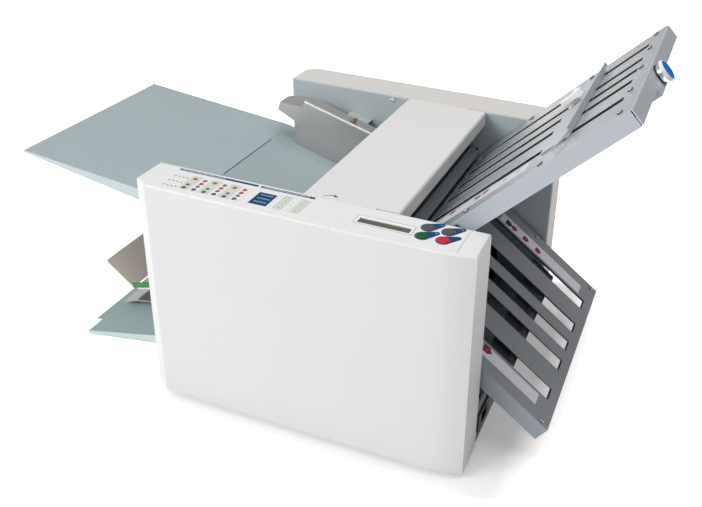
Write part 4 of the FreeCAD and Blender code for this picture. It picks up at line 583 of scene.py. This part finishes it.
def turned(bm, rings, matrix, count, finish_numbers=()):
    """A lathe form: rings are (distance along local w, radius) in millimetres; a ring may be a point.
    finish_numbers has one number for the band that starts at each ring."""
    loops = [[bm.verts.new(matrix @ Vector((u, v, along * MM))) for u, v in
              (circle(0, 0, radius, count) if radius else [(0, 0)])] for along, radius in rings]
    bands = [band(bm, first, second) for first, second in zip(loops, loops[1:])]
    for faces, number in zip(bands, finish_numbers):
        for face in faces:
            face.material_index = number
    bmesh.ops.recalc_face_normals(bm, faces=[face for faces in bands for face in faces])


def block(matrix, size):
    """A box of this size in metres, its middle at the matrix's origin."""
    return mesh_from(bmesh.ops.create_cube, size=1.0, matrix=matrix @ Matrix.Diagonal((*size, 1.0)))


def sheet(outline, lift, matrix, base=0.0, holes=()):
    """A flat sheet with holes; lift is its thickness and base its height along local w, in millimetres."""
    bm = bmesh.new()
    rim = []
    for loop in (outline, *holes):
        corners = [bm.verts.new(matrix @ Vector((u, v, base * MM))) for u, v in loop]
        rim += [bm.edges.new(ends) for ends in zip(corners, corners[1:] + corners[:1])]
    filled = bmesh.ops.triangle_fill(bm, use_beauty=True, use_dissolve=False, edges=rim)
    faces = [item for item in filled["geom"] if isinstance(item, bmesh.types.BMFace)]
    grown = bmesh.ops.extrude_face_region(bm, geom=faces, use_keep_orig=True)
    raised = [item for item in grown["geom"] if isinstance(item, bmesh.types.BMVert)]
    out = (matrix.to_3x3() @ Vector((0, 0, 1))).normalized()
    bmesh.ops.translate(bm, verts=raised, vec=out * (lift * MM))
    bmesh.ops.recalc_face_normals(bm, faces=bm.faces)
    return mesh_of(bm)


# ------------ repeats
def row_points(w, given):
    """Points in a straight row."""
    index = w.add("GeometryNodeInputIndex").outputs[0]
    place = w.add("ShaderNodeVectorMath", {0: given["Step"], "Scale": index}, operation="SCALE").outputs[0]
    return w.add("GeometryNodePoints", {"Count": given["Count"], "Position": place})


def ring_points(w, given):
    """Points round a circle."""
    return w.add("GeometryNodeMeshCircle", {"Vertices": given["Count"], "Radius": given["Radius"]})


def copies_tree(name, sizes, make_points):
    """Geometry nodes: sets copies of the incoming piece on the points that make_points lays out."""
    tree, w, given, end = new_group(name, {"Geometry": GEOMETRY, **sizes, "Finish": MATERIAL},
                                    {"Geometry": GEOMETRY}, "GeometryNodeTree")
    points = make_points(w, given).outputs[0]
    copies = w.add("GeometryNodeInstanceOnPoints", {"Points": points, "Instance": given["Geometry"]})
    solid = w.add("GeometryNodeRealizeInstances", {0: copies.outputs[0]})
    coated = w.add("GeometryNodeSetMaterial", {"Geometry": solid.outputs[0], "Material": given["Finish"]})
    w.fill(end, {0: coated.outputs[0]})
    return tree


ROW = copies_tree("row of copies", {"Count": WHOLE, "Step": VECTOR}, row_points)
RING = copies_tree("ring of copies", {"Count": WHOLE, "Radius": NUMBER}, ring_points)


def repeated(mesh, tree, finish, **sizes):
    """The copies that a tree makes of a mesh, as a plain mesh."""
    values = {**sizes, "Finish": FINISH[finish]}

    def set_up(modifier):
        modifier.node_group = tree
        for item in tree.interface.items_tree:
            if item.in_out == "INPUT" and item.name in values:
                modifier[item.identifier] = values[item.name]
    return modified(mesh, "NODES", set_up)


# ------------ which faces get which finish
SLOTS_HALF, SLOTS_END = 150.0, -10.0  # the fold plates' slots lie within these, across and along
SLOT_DEPTHS = (-2.5, 0.2)  # heights between which a slot's wall has its middle
FLANGE_FROM = 160.0  # a fold plate's side flanges lie further out than this
FLANGE_ENDS = (-6.0, -1.8)  # places along the plate between which the flanges end
SHEET_HALF = 162.0  # the bottom sheets reach this far from the middle inside their flanges
STOP_BAR_FROM = -84.0  # the lower stop's outer part starts here along the plate
GUARD_FROM, HOOKS_FROM = 295.0, 331.0  # along the machine: the strip over the rollers, the plates' hooks
ARMS_FROM, ARM_INSIDE = -93.0, 143.5  # the deflector's arms lie beyond these, along and across


def on_slope(slope, choose):
    """Has choose look at a face's normal and middle in a slope's own axes, the middle in millimetres."""
    inverse = slope.matrix.inverted()
    turn = inverse.to_3x3()
    return lambda face: choose(turn @ face.normal, inverse @ face.calc_center_median() / MM)


def slotted_top(normal, middle):
    """1 for the slots' walls and the ends of the flanges, painted dark as the shade inside the plate, 2 for
    the top face, 0 for the rest.
    """
    among_slots = abs(middle.y) < SLOTS_HALF and middle.x < SLOTS_END
    if abs(normal.z) < 0.3 and among_slots and SLOT_DEPTHS[0] < middle.z < SLOT_DEPTHS[1]:
        return 1
    if normal.x > 0.9 and FLANGE_ENDS[0] < middle.x < FLANGE_ENDS[1] and abs(middle.y) > FLANGE_FROM:
        return 1
    return 2 if normal.z > 0.9 else 0


def inner_face(normal, middle):
    """1 for a bottom sheet's inner face and edges, painted dark as the shade between the sheets, 0 for its
    underside.
    """
    return normal.z > -0.5 and abs(middle.y) < SHEET_HALF


def below_top(normal, middle):
    """1 for the faces that don't look out of the slope's top, which on the screws are painted dark as shade.
    """
    return normal.z < 0.5


def stop_bar(normal, middle):
    """1 for the outer part of the lower stop; the rest, under the plate, is painted darker as shade."""
    return middle.x > STOP_BAR_FROM


def front_flange(face):
    """1 for the flange on the operator's side, which is painted lighter as the light that falls on it."""
    return face.normal.y < -0.5


def inlet_end(face):
    """1 for the faces at the power inlet's end."""
    return face.normal.x > 0.5


def bracket_faces(face):
    """1 for the fold plate hooks, 2 for the strip over the rollers, 0 for the rest."""
    x = face.calc_center_median().x
    if x < at(GUARD_FROM, 0, 0).x:
        return 0
    return 2 if x < at(HOOKS_FROM, 0, 0).x else 1


def deflector_arm(face):
    """1 for the deflector's two arms, in the green that the operator handles."""
    middle = face.calc_center_median()
    return abs(middle.y) > ARM_INSIDE * MM and middle.x > at(ARMS_FROM, 0, 0).x


def make_sheet_metal():
    dressed("front_housing", "housing", bevel=0.5)
    dressed("rear_housing", "housing_rear", bevel=0.5)
    dressed("top_cover", "cover", bevel=0.4)
    dressed("base_plate", "frame", "stop_dark", paint_faces=inlet_end)
    dressed("feed_table", "table", "table_edge", bevel=0.4, paint_faces=front_flange)
    dressed("lift_plate", "table", bevel=0.3)
    dressed("delivery_tray", "tray", "tray_edge", bevel=0.6, segments=3, paint_faces=front_flange)
    dressed("frame_brackets", "frame", "bracket_black", "roller_guard", paint_faces=bracket_faces)
    dressed("upper_knob_bracket", "plate_light", bevel=0.3)
    dressed("stacker_plate", "stacker_grey", bevel=0.2)
    dressed("rear_side_guide", "guide_steel", bevel=0.3)
    dressed("exit_deflector", "deflector", "lever_green", bevel=0.3, paint_faces=deflector_arm)


def make_fold_plates():
    dressed("upper_plate_top", "plate_light", "slot_black", "plate_top", bevel=0.25,
            paint_faces=on_slope(UPPER, slotted_top))
    dressed("upper_plate_bottom", "plate_light", "slot_black", paint_faces=on_slope(UPPER, inner_face))
    dressed("lower_plate_top", "plate_side", "slot_dark", "plate_dark", bevel=0.25,
            paint_faces=on_slope(LOWER, slotted_top))
    dressed("lower_plate_bottom", "plate_dark", "slot_dark", paint_faces=on_slope(LOWER, inner_face))
    for plate, slope in (("upper", UPPER), ("lower", LOWER)):
        dressed(plate + "_plate_screws", "zinc_screw", "screw_side", paint_faces=on_slope(slope, below_top))
    dressed("upper_paper_stop", "stop_grey", bevel=0.25)
    dressed("lower_paper_stop", "slot_dark", "stop_dark", bevel=0.25, paint_faces=on_slope(LOWER, stop_bar))


def make_controls():
    dressed("upper_stop_clamp", "lever_white", bevel=1.3, segments=4)
    dressed("power_inlet", "black_plastic", bevel=0.5, segments=3)
    dressed("power_switch", "black_plastic", bevel=0.5, segments=3)
    for button, colour in (("minus", "grey"), ("plus", "grey"), ("start", "green"), ("stop", "red")):
        dressed(button + "_button", "button_" + colour, bevel=0.15)


# ------------ adjusting knob
KNOB_ACROSS, KNOB_BELOW = -12.0, -17.0  # the knob's axis, across and below the plate's top
KNOB_RIBS, KNOB_GRIP_R = 40, 13.4  # number of ribs and their pitch radius
RIB_R, RIB_LENGTH, RIBS_FROM = 0.45, 2.6, 8.0
# the finish of each stretch of the knob, and its (distance out along the plate, radius) in millimetres
KNOB_PROFILE = (
    ("zinc_screw", ((-9.4, 0), (-9.4, 3.9))),
    ("black_plastic", ((0.3, 3.9), (0.3, 12.4), (0.6, 12.8), (1.5, 12.8), (1.8, 12.4))),
    ("zinc_screw", ((1.8, 11.3),)),
    ("knob_white", ((7.0, 11.3), (7.0, 12.5), (7.4, 13.2), (8.1, 13.6), (10.6, 13.6), (11.4, 13.3),
                    (11.9, 12.7), (12.0, 12.2))),
    ("knob_blue", ((11.6, 11.9), (11.6, 11.6), (12.0, 11.2), (12.0, 0))),
)


def make_adjust_knob():
    """White ribbed knob with a blue face, on a bright hub and a dark washer."""
    axis = UPPER.matrix @ move(0, KNOB_ACROSS, KNOB_BELOW) @ Matrix.Rotation(math.radians(90), 4, "Y")
    finishes = ("knob_white", "black_plastic", "zinc_screw", "knob_blue")
    rings = [ring for _, stretch in KNOB_PROFILE for ring in stretch]
    numbers = [finishes.index(finish) for finish, stretch in KNOB_PROFILE for _ in stretch]
    rib = mesh_from(prism, circle(0, 0, RIB_R, 8), RIB_LENGTH * MM)
    ribs = repeated(rib, RING, "knob_white", Count=KNOB_RIBS, Radius=KNOB_GRIP_R * MM)
    ribs.transform(axis @ move(0, 0, RIBS_FROM))
    piece = gather("adjusting_knob_finished", body_of("upper_adjust_knob"), [
        (mesh_from(turned, rings, axis, 56, numbers), *finishes), (ribs, "knob_white")])
    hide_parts("upper_adjust_knob")


# ------------ printed panel
PRINT_T = 0.06  # thickness of a printed layer
MARKS_TOP, MARKS_FOOT = -189.6, -225.0  # the table of fold marks, across the machine
COLUMN_START, COLUMN_PITCH, COLUMN_WIDTH = 61.0, 14.0, 13.6
MARK_ROWS = ((-196.7, "ink_red", 5.6), (-205.0, "ink_red", 5.6), (-212.7, "ink_green", 4.8),
             (-221.0, "ink_blue", 5.6))  # middle, ink and size of each row of marks
WINDOW = (293.0, -211.0, 357.5, -200.0)  # display window
DISPLAY_RIM = (289.4, -213.2, 360.2, -194.9)
RIM_LINE = (288.9, -213.7, 360.7, -194.4)
TEARDROP_R, TAIL_R, BUTTON_HOLE_R = 9.0, 3.9, 7.5
# middle of each button, and of the tail of its printed teardrop
BUTTONS = {"minus": (373.0, -190.0, 386.0, -178.6), "plus": (398.0, -190.0, 411.2, -179.2),
           "start": (373.0, -210.0, 386.3, -198.6), "stop": (398.0, -210.0, 412.0, -199.2)}


def ink(finish, outline, layer=0, holes=()):
    """A printed shape on the control panel's sheet; higher layers lie over lower ones."""
    return sheet(outline, PRINT_T, PANEL, layer * PRINT_T, holes), finish


def print_headings():
    """Two blue bars, each with a row of white dashes."""
    for bar in ((35, -183.0, 147.3, -178.7), (151, -183.2, 224.8, -178.7)):
        yield ink("ink_navy", rectangle(*bar))
    pitch, lengths = 3.2, (1.5, 2.3, 1.9)
    for start, stop in ((37.0, 101.0), (154.0, 221.0)):
        for i in range(int((stop - start) / pitch)):
            left = start + pitch * i
            yield ink("ink_white", rectangle(left, -181.7, left + lengths[i % 3], -180.0), 1)


def print_fold_marks():
    """Six columns of coloured marks, every other column tinted and with a gap in its second row."""
    for column in range(6):
        left = COLUMN_START + COLUMN_PITCH * column
        right = left + COLUMN_WIDTH
        tinted = column % 2 == 0
        if tinted:
            yield ink("ink_pale_green", rectangle(left, MARKS_FOOT, right, MARKS_TOP))
        yield ink("ink_grey", rectangle(right, MARKS_FOOT, right + 0.3, MARKS_TOP))
        for row, (y, finish, size) in enumerate(MARK_ROWS):
            if tinted and row == 1:
                continue
            yield ink(finish, pennant(left + 7.0, y, size), 1)
            yield ink("ink_white", rectangle(left + 6.2, y - 0.25, left + 7.6, y + 0.25), 2)


def print_size_tables():
    """Blue field with rows of dashes, two tinted columns in a frame, and rows of small grey marks."""
    yield ink("ink_navy", rectangle(156.8, -222.6, 180.8, -193.2))
    for y in (-198.5, -207.0, -215.5):
        for i in range(5):
            left = 161.5 + 3.4 * i
            yield ink("ink_white", rectangle(left, y - 0.6, left + 2.1, y + 0.6), 1)
    for left in (189.9, 211.6):
        yield ink("ink_pale_green", rectangle(left, -221.6, left + 11.2, -189.4))
    yield ink("ink_grey", rectangle(189.5, -222.0, 223.4, -189.0), 0,
              [rectangle(189.9, -221.6, 223.0, -189.4)])
    for y in (-198.5, -211.0, -223.0):
        for i in range(4):
            yield ink("ink_grey", pennant(40.5 + 5.6 * i, y, 3.2))


def print_display():
    """White rim round the display window, with a black line round it."""
    yield ink("display_edge", rectangle(*DISPLAY_RIM), 0, [rectangle(*WINDOW)])
    yield ink("ink_black", rectangle(*RIM_LINE), 0, [rectangle(*DISPLAY_RIM)])


def print_buttons():
    """Blue teardrops round the buttons, each with its sign, and the line that closes the panel."""
    for name, (x, y, tail_x, tail_y) in BUTTONS.items():
        yield ink("ink_navy", teardrop(x, y, TEARDROP_R, tail_x, tail_y, TAIL_R), 0,
                  [circle(x, y, BUTTON_HOLE_R, 28)])
        if name in ("minus", "plus"):
            yield ink("ink_silver", rectangle(tail_x - 2.2, tail_y - 0.35, tail_x + 1.8, tail_y + 0.35), 1)
        if name == "plus":
            yield ink("ink_silver", rectangle(tail_x - 0.55, tail_y - 1.9, tail_x + 0.15, tail_y + 1.9), 1.5)
        if name == "start":
            yield ink("ink_silver", pennant(tail_x, tail_y, 2.6), 1)
        if name == "stop":
            yield ink("ink_green", circle(tail_x, tail_y, 1.9, 16), 1)
    yield ink("ink_grey", rectangle(419.6, -226.8, 419.95, -178.8))


def print_dots():
    """Columns of four dots in and beside the framed table."""
    dot = mesh_from(prism, circle(0, 0, 0.75, 10), PRINT_T * MM)
    for left, colour in ((195.6, "green"), (206.4, "grey"), (217.2, "green"), (184.6, "grey")):
        dots = repeated(dot, ROW, "ink_" + colour, Count=4, Step=(0, 8.2 * MM, 0))
        dots.transform(PANEL @ move(left, -217.6, PRINT_T))
        yield dots, "ink_" + colour


def make_panel():
    gather("panel_print", "frame", [*print_headings(), *print_fold_marks(), *print_size_tables(),
                                    *print_display(), *print_buttons(), *print_dots()])


def make_cover_arrow():
    """Curved black arrow that shows which way the cover opens."""
    centre_x, centre_y, radius = 240.5, -176.0, 11.5
    tail, sweep, tail_half, growth = 158, -82, 0.3, 0.5

    def bow_point(side, share):
        turn = math.radians(tail + sweep * share)
        reach = radius + side * (tail_half + growth * share)
        return (centre_x + reach * math.cos(turn)) * MM, (centre_y + reach * math.sin(turn)) * MM

    shares = [i / 12 for i in range(13)]
    bow = [bow_point(1, share) for share in shares] + [bow_point(-1, share) for share in reversed(shares)]
    head = [(242.2 * MM, -162.2 * MM), (248.2 * MM, -166.6 * MM), (242.6 * MM, -167.6 * MM)]
    gather("cover_arrow", body_of("top_cover"), [
        (sheet(outline, PRINT_T, COVER), "ink_black") for outline in (bow, head)])


# ------------ scale strips on the fold plates
STRIP_T, MARK_T = 0.18, 0.05  # thickness of a strip and of what is printed on it
GLINT_BASE = 0.24  # height at which the light part of a mark starts
TICK_PITCH, TICK_HALF, TICK_HALF_WIDTH = 3.0, 1.4, 0.16
TICKS_IN = 4.0  # the ticks start this far in from the strip's end


def make_scale(name, slope, node, span, across, tick_middle, marks, finish="strip_white"):
    """Scale strip with fine ticks and marks (u, v, size, ink), stuck on a fold plate."""
    place = slope.matrix
    parts = [(sheet(rounded(span[0], across[0], span[1], across[1], 1.2), STRIP_T, place), finish)]
    tick = mesh_from(prism, rectangle(-TICK_HALF_WIDTH, -TICK_HALF, TICK_HALF_WIDTH, TICK_HALF), MARK_T * MM)
    count = int((span[1] - span[0] - 2 * TICKS_IN) / TICK_PITCH)
    ticks = repeated(tick, ROW, "ink_grey", Count=count, Step=(TICK_PITCH * MM, 0, 0))
    ticks.transform(place @ move(span[0] + TICKS_IN, tick_middle, STRIP_T))
    parts.append((ticks, "ink_grey"))
    for u, v, size, colour in marks:
        glint = rectangle(u - size * 0.16, v - size * 0.05, u + size * 0.06, v + size * 0.05)
        parts.append((sheet(pennant(u, v, size), MARK_T, place, STRIP_T), colour))
        parts.append((sheet(glint, MARK_T, place, GLINT_BASE), "ink_silver"))
    gather(name, body_of(node), parts)


def make_scales():
    make_scale("upper_scale", UPPER, "upper_plate_top", (-322, -150), (-139, -112), -134.0, [
        (-274, -118, 10, "ink_crimson"), (-218, -121, 10, "ink_crimson"), (-230, -123, 10, "ink_green"),
        (-187, -122, 7, "ink_silver"), (-166, -122, 7, "ink_silver")], "strip_grey")
    make_scale("lower_far_scale", LOWER, "lower_plate_top", (-193, -28), (122, 143.7), 125.0, [
        (-177, 131, 12, "ink_black"), (-165.5, 131, 10, "ink_crimson"), (-142, 131, 11, "ink_crimson"),
        (-116, 131, 11, "ink_crimson")])
    make_scale("lower_near_scale", LOWER, "lower_plate_top", (-122, -28.5), (-144.5, -125), -141.0, [
        (-117, -131, 13, "ink_crimson")])


# ------------ small fittings
def pan_head(bm, radius, height):
    """Screw head with a crowned top, standing on local w = 0; sizes in millimetres."""
    turned(bm, [(0, radius), (height * 0.45, radius), (height * 0.75, radius * 0.88),
                (height * 0.94, radius * 0.62), (height, radius * 0.4), (height, 0)], Matrix(), 28)


def coil(bm, turns, wire, radius, length, steps=120, sides=6):
    """Coil spring along local u, its middle at the origin; sizes in millimetres."""
    loops = []
    for i in range(steps + 1):
        share = i / steps
        turn = 2 * math.pi * turns * share
        out = Vector((0, math.cos(turn), math.sin(turn)))
        middle = Vector((length * (share - 0.5), 0, 0)) + out * radius
        around = [2 * math.pi * k / sides for k in range(sides)]
        section = [out * (wire * math.cos(a)) + Vector((wire * math.sin(a), 0, 0)) for a in around]
        loops.append([bm.verts.new((middle + corner) * MM) for corner in section])
    for low, high in zip(loops, loops[1:]):
        band(bm, low, high)
    bm.faces.new(loops[0])
    bm.faces.new(list(reversed(loops[-1])))
    bmesh.ops.recalc_face_normals(bm, faces=bm.faces)


def make_stop_fittings():
    """Two guide screws and a coil spring beside the clamp lever of the upper stop."""
    parts = []
    for u, v in ((-128.0, 28.0), (-112.0, 38.0)):
        head = mesh_from(pan_head, 3.0, 2.6)
        head.transform(UPPER.matrix @ move(u, v, 1.8))
        parts.append((head, "zinc_screw"))
    spring = mesh_from(coil, 6, 0.55, 2.2, 13.0)
    spring.transform(UPPER.matrix @ move(-119.0, 33.0, 4.7) @ Matrix.Rotation(math.radians(38), 4, "Z"))
    parts.append((spring, "gear_steel"))
    gather("stop_fittings", body_of("upper_paper_stop"), parts)


def make_slot_rims():
    """Raised rims round the inner ends of the upper plate's slots, coloured light as a painted highlight of
    the slot edges.
    """
    outer, inner, end, mouth, wall, thick = 8.1, 7.2, -321.5, -205.0, 0.9, 0.25
    parts = []
    for v in UPPER_SLOTS:
        rim = [(mouth, v - outer), (end - wall, v - outer), (end - wall, v + outer), (mouth, v + outer),
               (mouth, v + inner), (end, v + inner), (end, v - inner), (mouth, v - inner)]
        outline = [(u * MM, across * MM) for u, across in rim]
        parts.append((sheet(outline, thick, UPPER.matrix), "slot_rim"))
    gather("slot_rims", body_of("upper_plate_top"), parts)


def make_table_lip():
    """Edge of the table bent down in front of the lift plate."""
    half, depth, below = 91.0, 7.0, 1.4
    lip = mesh_from(prism, rectangle(0.4, -half, 2.0, half), -depth * MM, BED.matrix @ move(0, 0, -below))
    gather("table_lip", body_of("feed_table"), [(lip, "table")])


def make_cover_switch():
    """Small black switch on the rear side frame that the cover presses when it is closed."""
    low, high = at(314.5, 164.5, 254.5), at(322.5, 173.0, 262.0)
    centre = (low + high) / 2
    case = block(Matrix.Translation(centre), high - low)
    near_face = Matrix.Translation((centre.x, low.y, centre.z)) @ Matrix.Rotation(math.radians(90), 4, "X")
    plunger = mesh_from(turned, [(0, 1.9), (1.6, 1.9), (2.2, 1.4), (2.2, 0)], near_face, 18)
    gather("cover_switch", "frame", [(case, "black_plastic"), (plunger, "zinc_screw")])


def make_stacker_pads():
    """Two dark rubber strips on the stacker plate that slow the folded sheets."""
    low, high = TRAY.point(36.0, 0, 9.0), TRAY.point(176.0, 0, 4.0)
    along = (high - low).normalized()
    place = with_axes(along, ACROSS, along.cross(ACROSS), low)
    gather("stacker_pads", body_of("stacker_plate"), [
        (sheet(rounded(0.5, right, 120, left, 2.0), 0.8, place), "pad_rubber")
        for right, left in ((-95.5, -60), (60, 95.5))])


def make_deflector_edge():
    """White rims along the feet of the deflector's two arms."""
    parts = []
    for y in (-147.4, 147.4):
        low, high = at(-84.0, y, 90.6), at(-44.0, y, 101.3)
        run = high - low
        place = Matrix.Translation((low + high) / 2) @ Matrix.Rotation(-math.atan2(run.z, run.x), 4, "Y")
        parts.append((block(place, (run.length, 1.6 * MM, 1.2 * MM)), "lever_white"))
    gather("arm_rims", body_of("exit_deflector"), parts)


# ------------ stage and light
WHITE = (1.0, 1.0, 1.0, 1.0)
FLOOR_HALF, FLOOR_Z = 6.0, -0.0005
FLOOR_GREY = (0.82, 0.82, 0.82, 1.0)
FLOOR_GLOW = (1.0, 0.965, 0.96, 1.0)  # makes the floor that the camera sees nearly white
GLOW_NEAR, GLOW_AWAY = 0.27, 0.97  # its strength beside the machine, where the weaker glow is a painted shadow, and away from it
SHADOW_REACH = (0.026, 0.075)  # distances from the machine over which the painted shadow fades
SHADOW_INSET = 0.07  # the painted shadow starts this far in from the feed end
SHADOW_STRETCH = (0.65, 2.2, 1.0)  # it reaches further along the machine than across it
SKY_FEED_SIDE, SKY_FAR_SIDE = 0.56, 0.10  # strength of the room's light from either end
SKY_TURN = (-0.6, 0.8)  # directions along the machine between which it changes
LIT_POINT = Vector((0.0, 0.0, 0.2))  # where the lamps look


def seen_by(w, *rays):
    """1 for rays of these kinds."""
    path = w.add("ShaderNodeLightPath").outputs
    seen = path[rays[0]]
    for ray in rays[1:]:
        seen = w.math("MAXIMUM", seen, path[ray])
    return seen


def make_floor():
    """Pale floor that keeps the machine's shadow, with a painted shadow round the machine where its glow is
    weaker.
    """
    grid = mesh_from(bmesh.ops.create_grid, x_segments=1, y_segments=1, size=FLOOR_HALF,
                     matrix=Matrix.Translation((0, 0, FLOOR_Z)))
    floor = linked("floor", grid)
    material, w, shader = new_material("studio_floor", Base_Color=FLOOR_GREY, Roughness=0.9,
                                       Specular_IOR_Level=0.1)
    grid.materials.append(material)
    near = housing_low + Vector((SHADOW_INSET, 0, 0))
    middle = (near + rear_high) / 2
    half = (rear_high - near) / 2
    reach = w.vector("ABSOLUTE", w.vector("SUBTRACT", w.points(), (middle.x, middle.y, 0.0)))
    outside = w.vector("MAXIMUM", w.vector("SUBTRACT", reach, (half.x, half.y, 0.0)))
    away = w.vector("LENGTH", w.vector("MULTIPLY", outside, SHADOW_STRETCH))
    glow = w.add("ShaderNodeEmission", {"Color": FLOOR_GLOW,
                                        "Strength": w.span(away, *SHADOW_REACH, GLOW_NEAR, GLOW_AWAY)})
    both = w.add("ShaderNodeAddShader", {0: shader.outputs[0], 1: glow.outputs[0]})
    seen = seen_by(w, "Is Camera Ray", "Is Glossy Ray", "Is Transmission Ray")
    choose = w.add("ShaderNodeMixShader", {0: seen, 1: shader.outputs[0], 2: both.outputs[0]})
    w.fill(material.node_tree.nodes["Material Output"], {"Surface": choose.outputs[0]})


def make_world():
    """Room light, stronger from the feed end, in front of a white backdrop."""
    world = bpy.data.worlds.new("studio")
    scene.world = world
    world.use_nodes = True
    w = Wiring(world.node_tree)
    side = w.add("ShaderNodeSeparateXYZ", {0: w.add("ShaderNodeTexCoord").outputs["Generated"]}).outputs["X"]
    sky = w.fill(world.node_tree.nodes["Background"], {
        "Color": WHITE, "Strength": w.span(side, *SKY_TURN, SKY_FEED_SIDE, SKY_FAR_SIDE)})
    backdrop = w.add("ShaderNodeBackground", {"Color": WHITE, "Strength": 1.0})
    seen = seen_by(w, "Is Camera Ray", "Is Transmission Ray")
    choose = w.add("ShaderNodeMixShader", {0: seen, 1: sky.outputs[0], 2: backdrop.outputs[0]})
    w.fill(world.node_tree.nodes["World Output"], {"Surface": choose.outputs[0]})


def soft_lamp(name, place, size, power):
    """A rectangular lamp, its power in watts, that looks at the machine."""
    data = bpy.data.lights.new(name, "AREA")
    data.shape = "RECTANGLE"
    data.size, data.size_y = size
    data.energy = power
    lamp = linked(name, data)
    lamp.location = place
    lamp.rotation_euler = (LIT_POINT - Vector(place)).to_track_quat("-Z", "Y").to_euler()


def make_light():
    soft_lamp("front key", place=(-2.0, -2.7, 2.3), size=(2.2, 1.8), power=80.0)
    soft_lamp("top softbox", place=(0.7, 0.1, 2.8), size=(2.2, 2.2), power=29.0)
    scene.view_settings.view_transform = "Standard"


# ------------ making
make_camera()
make_floor()
make_world()
make_light()
finish_nodes()
make_sheet_metal()
make_fold_plates()
make_controls()
make_deflector_edge()
make_adjust_knob()
make_panel()
make_cover_arrow()
make_scales()
make_stop_fittings()
make_slot_rims()
make_table_lip()
make_cover_switch()
make_stacker_pads()
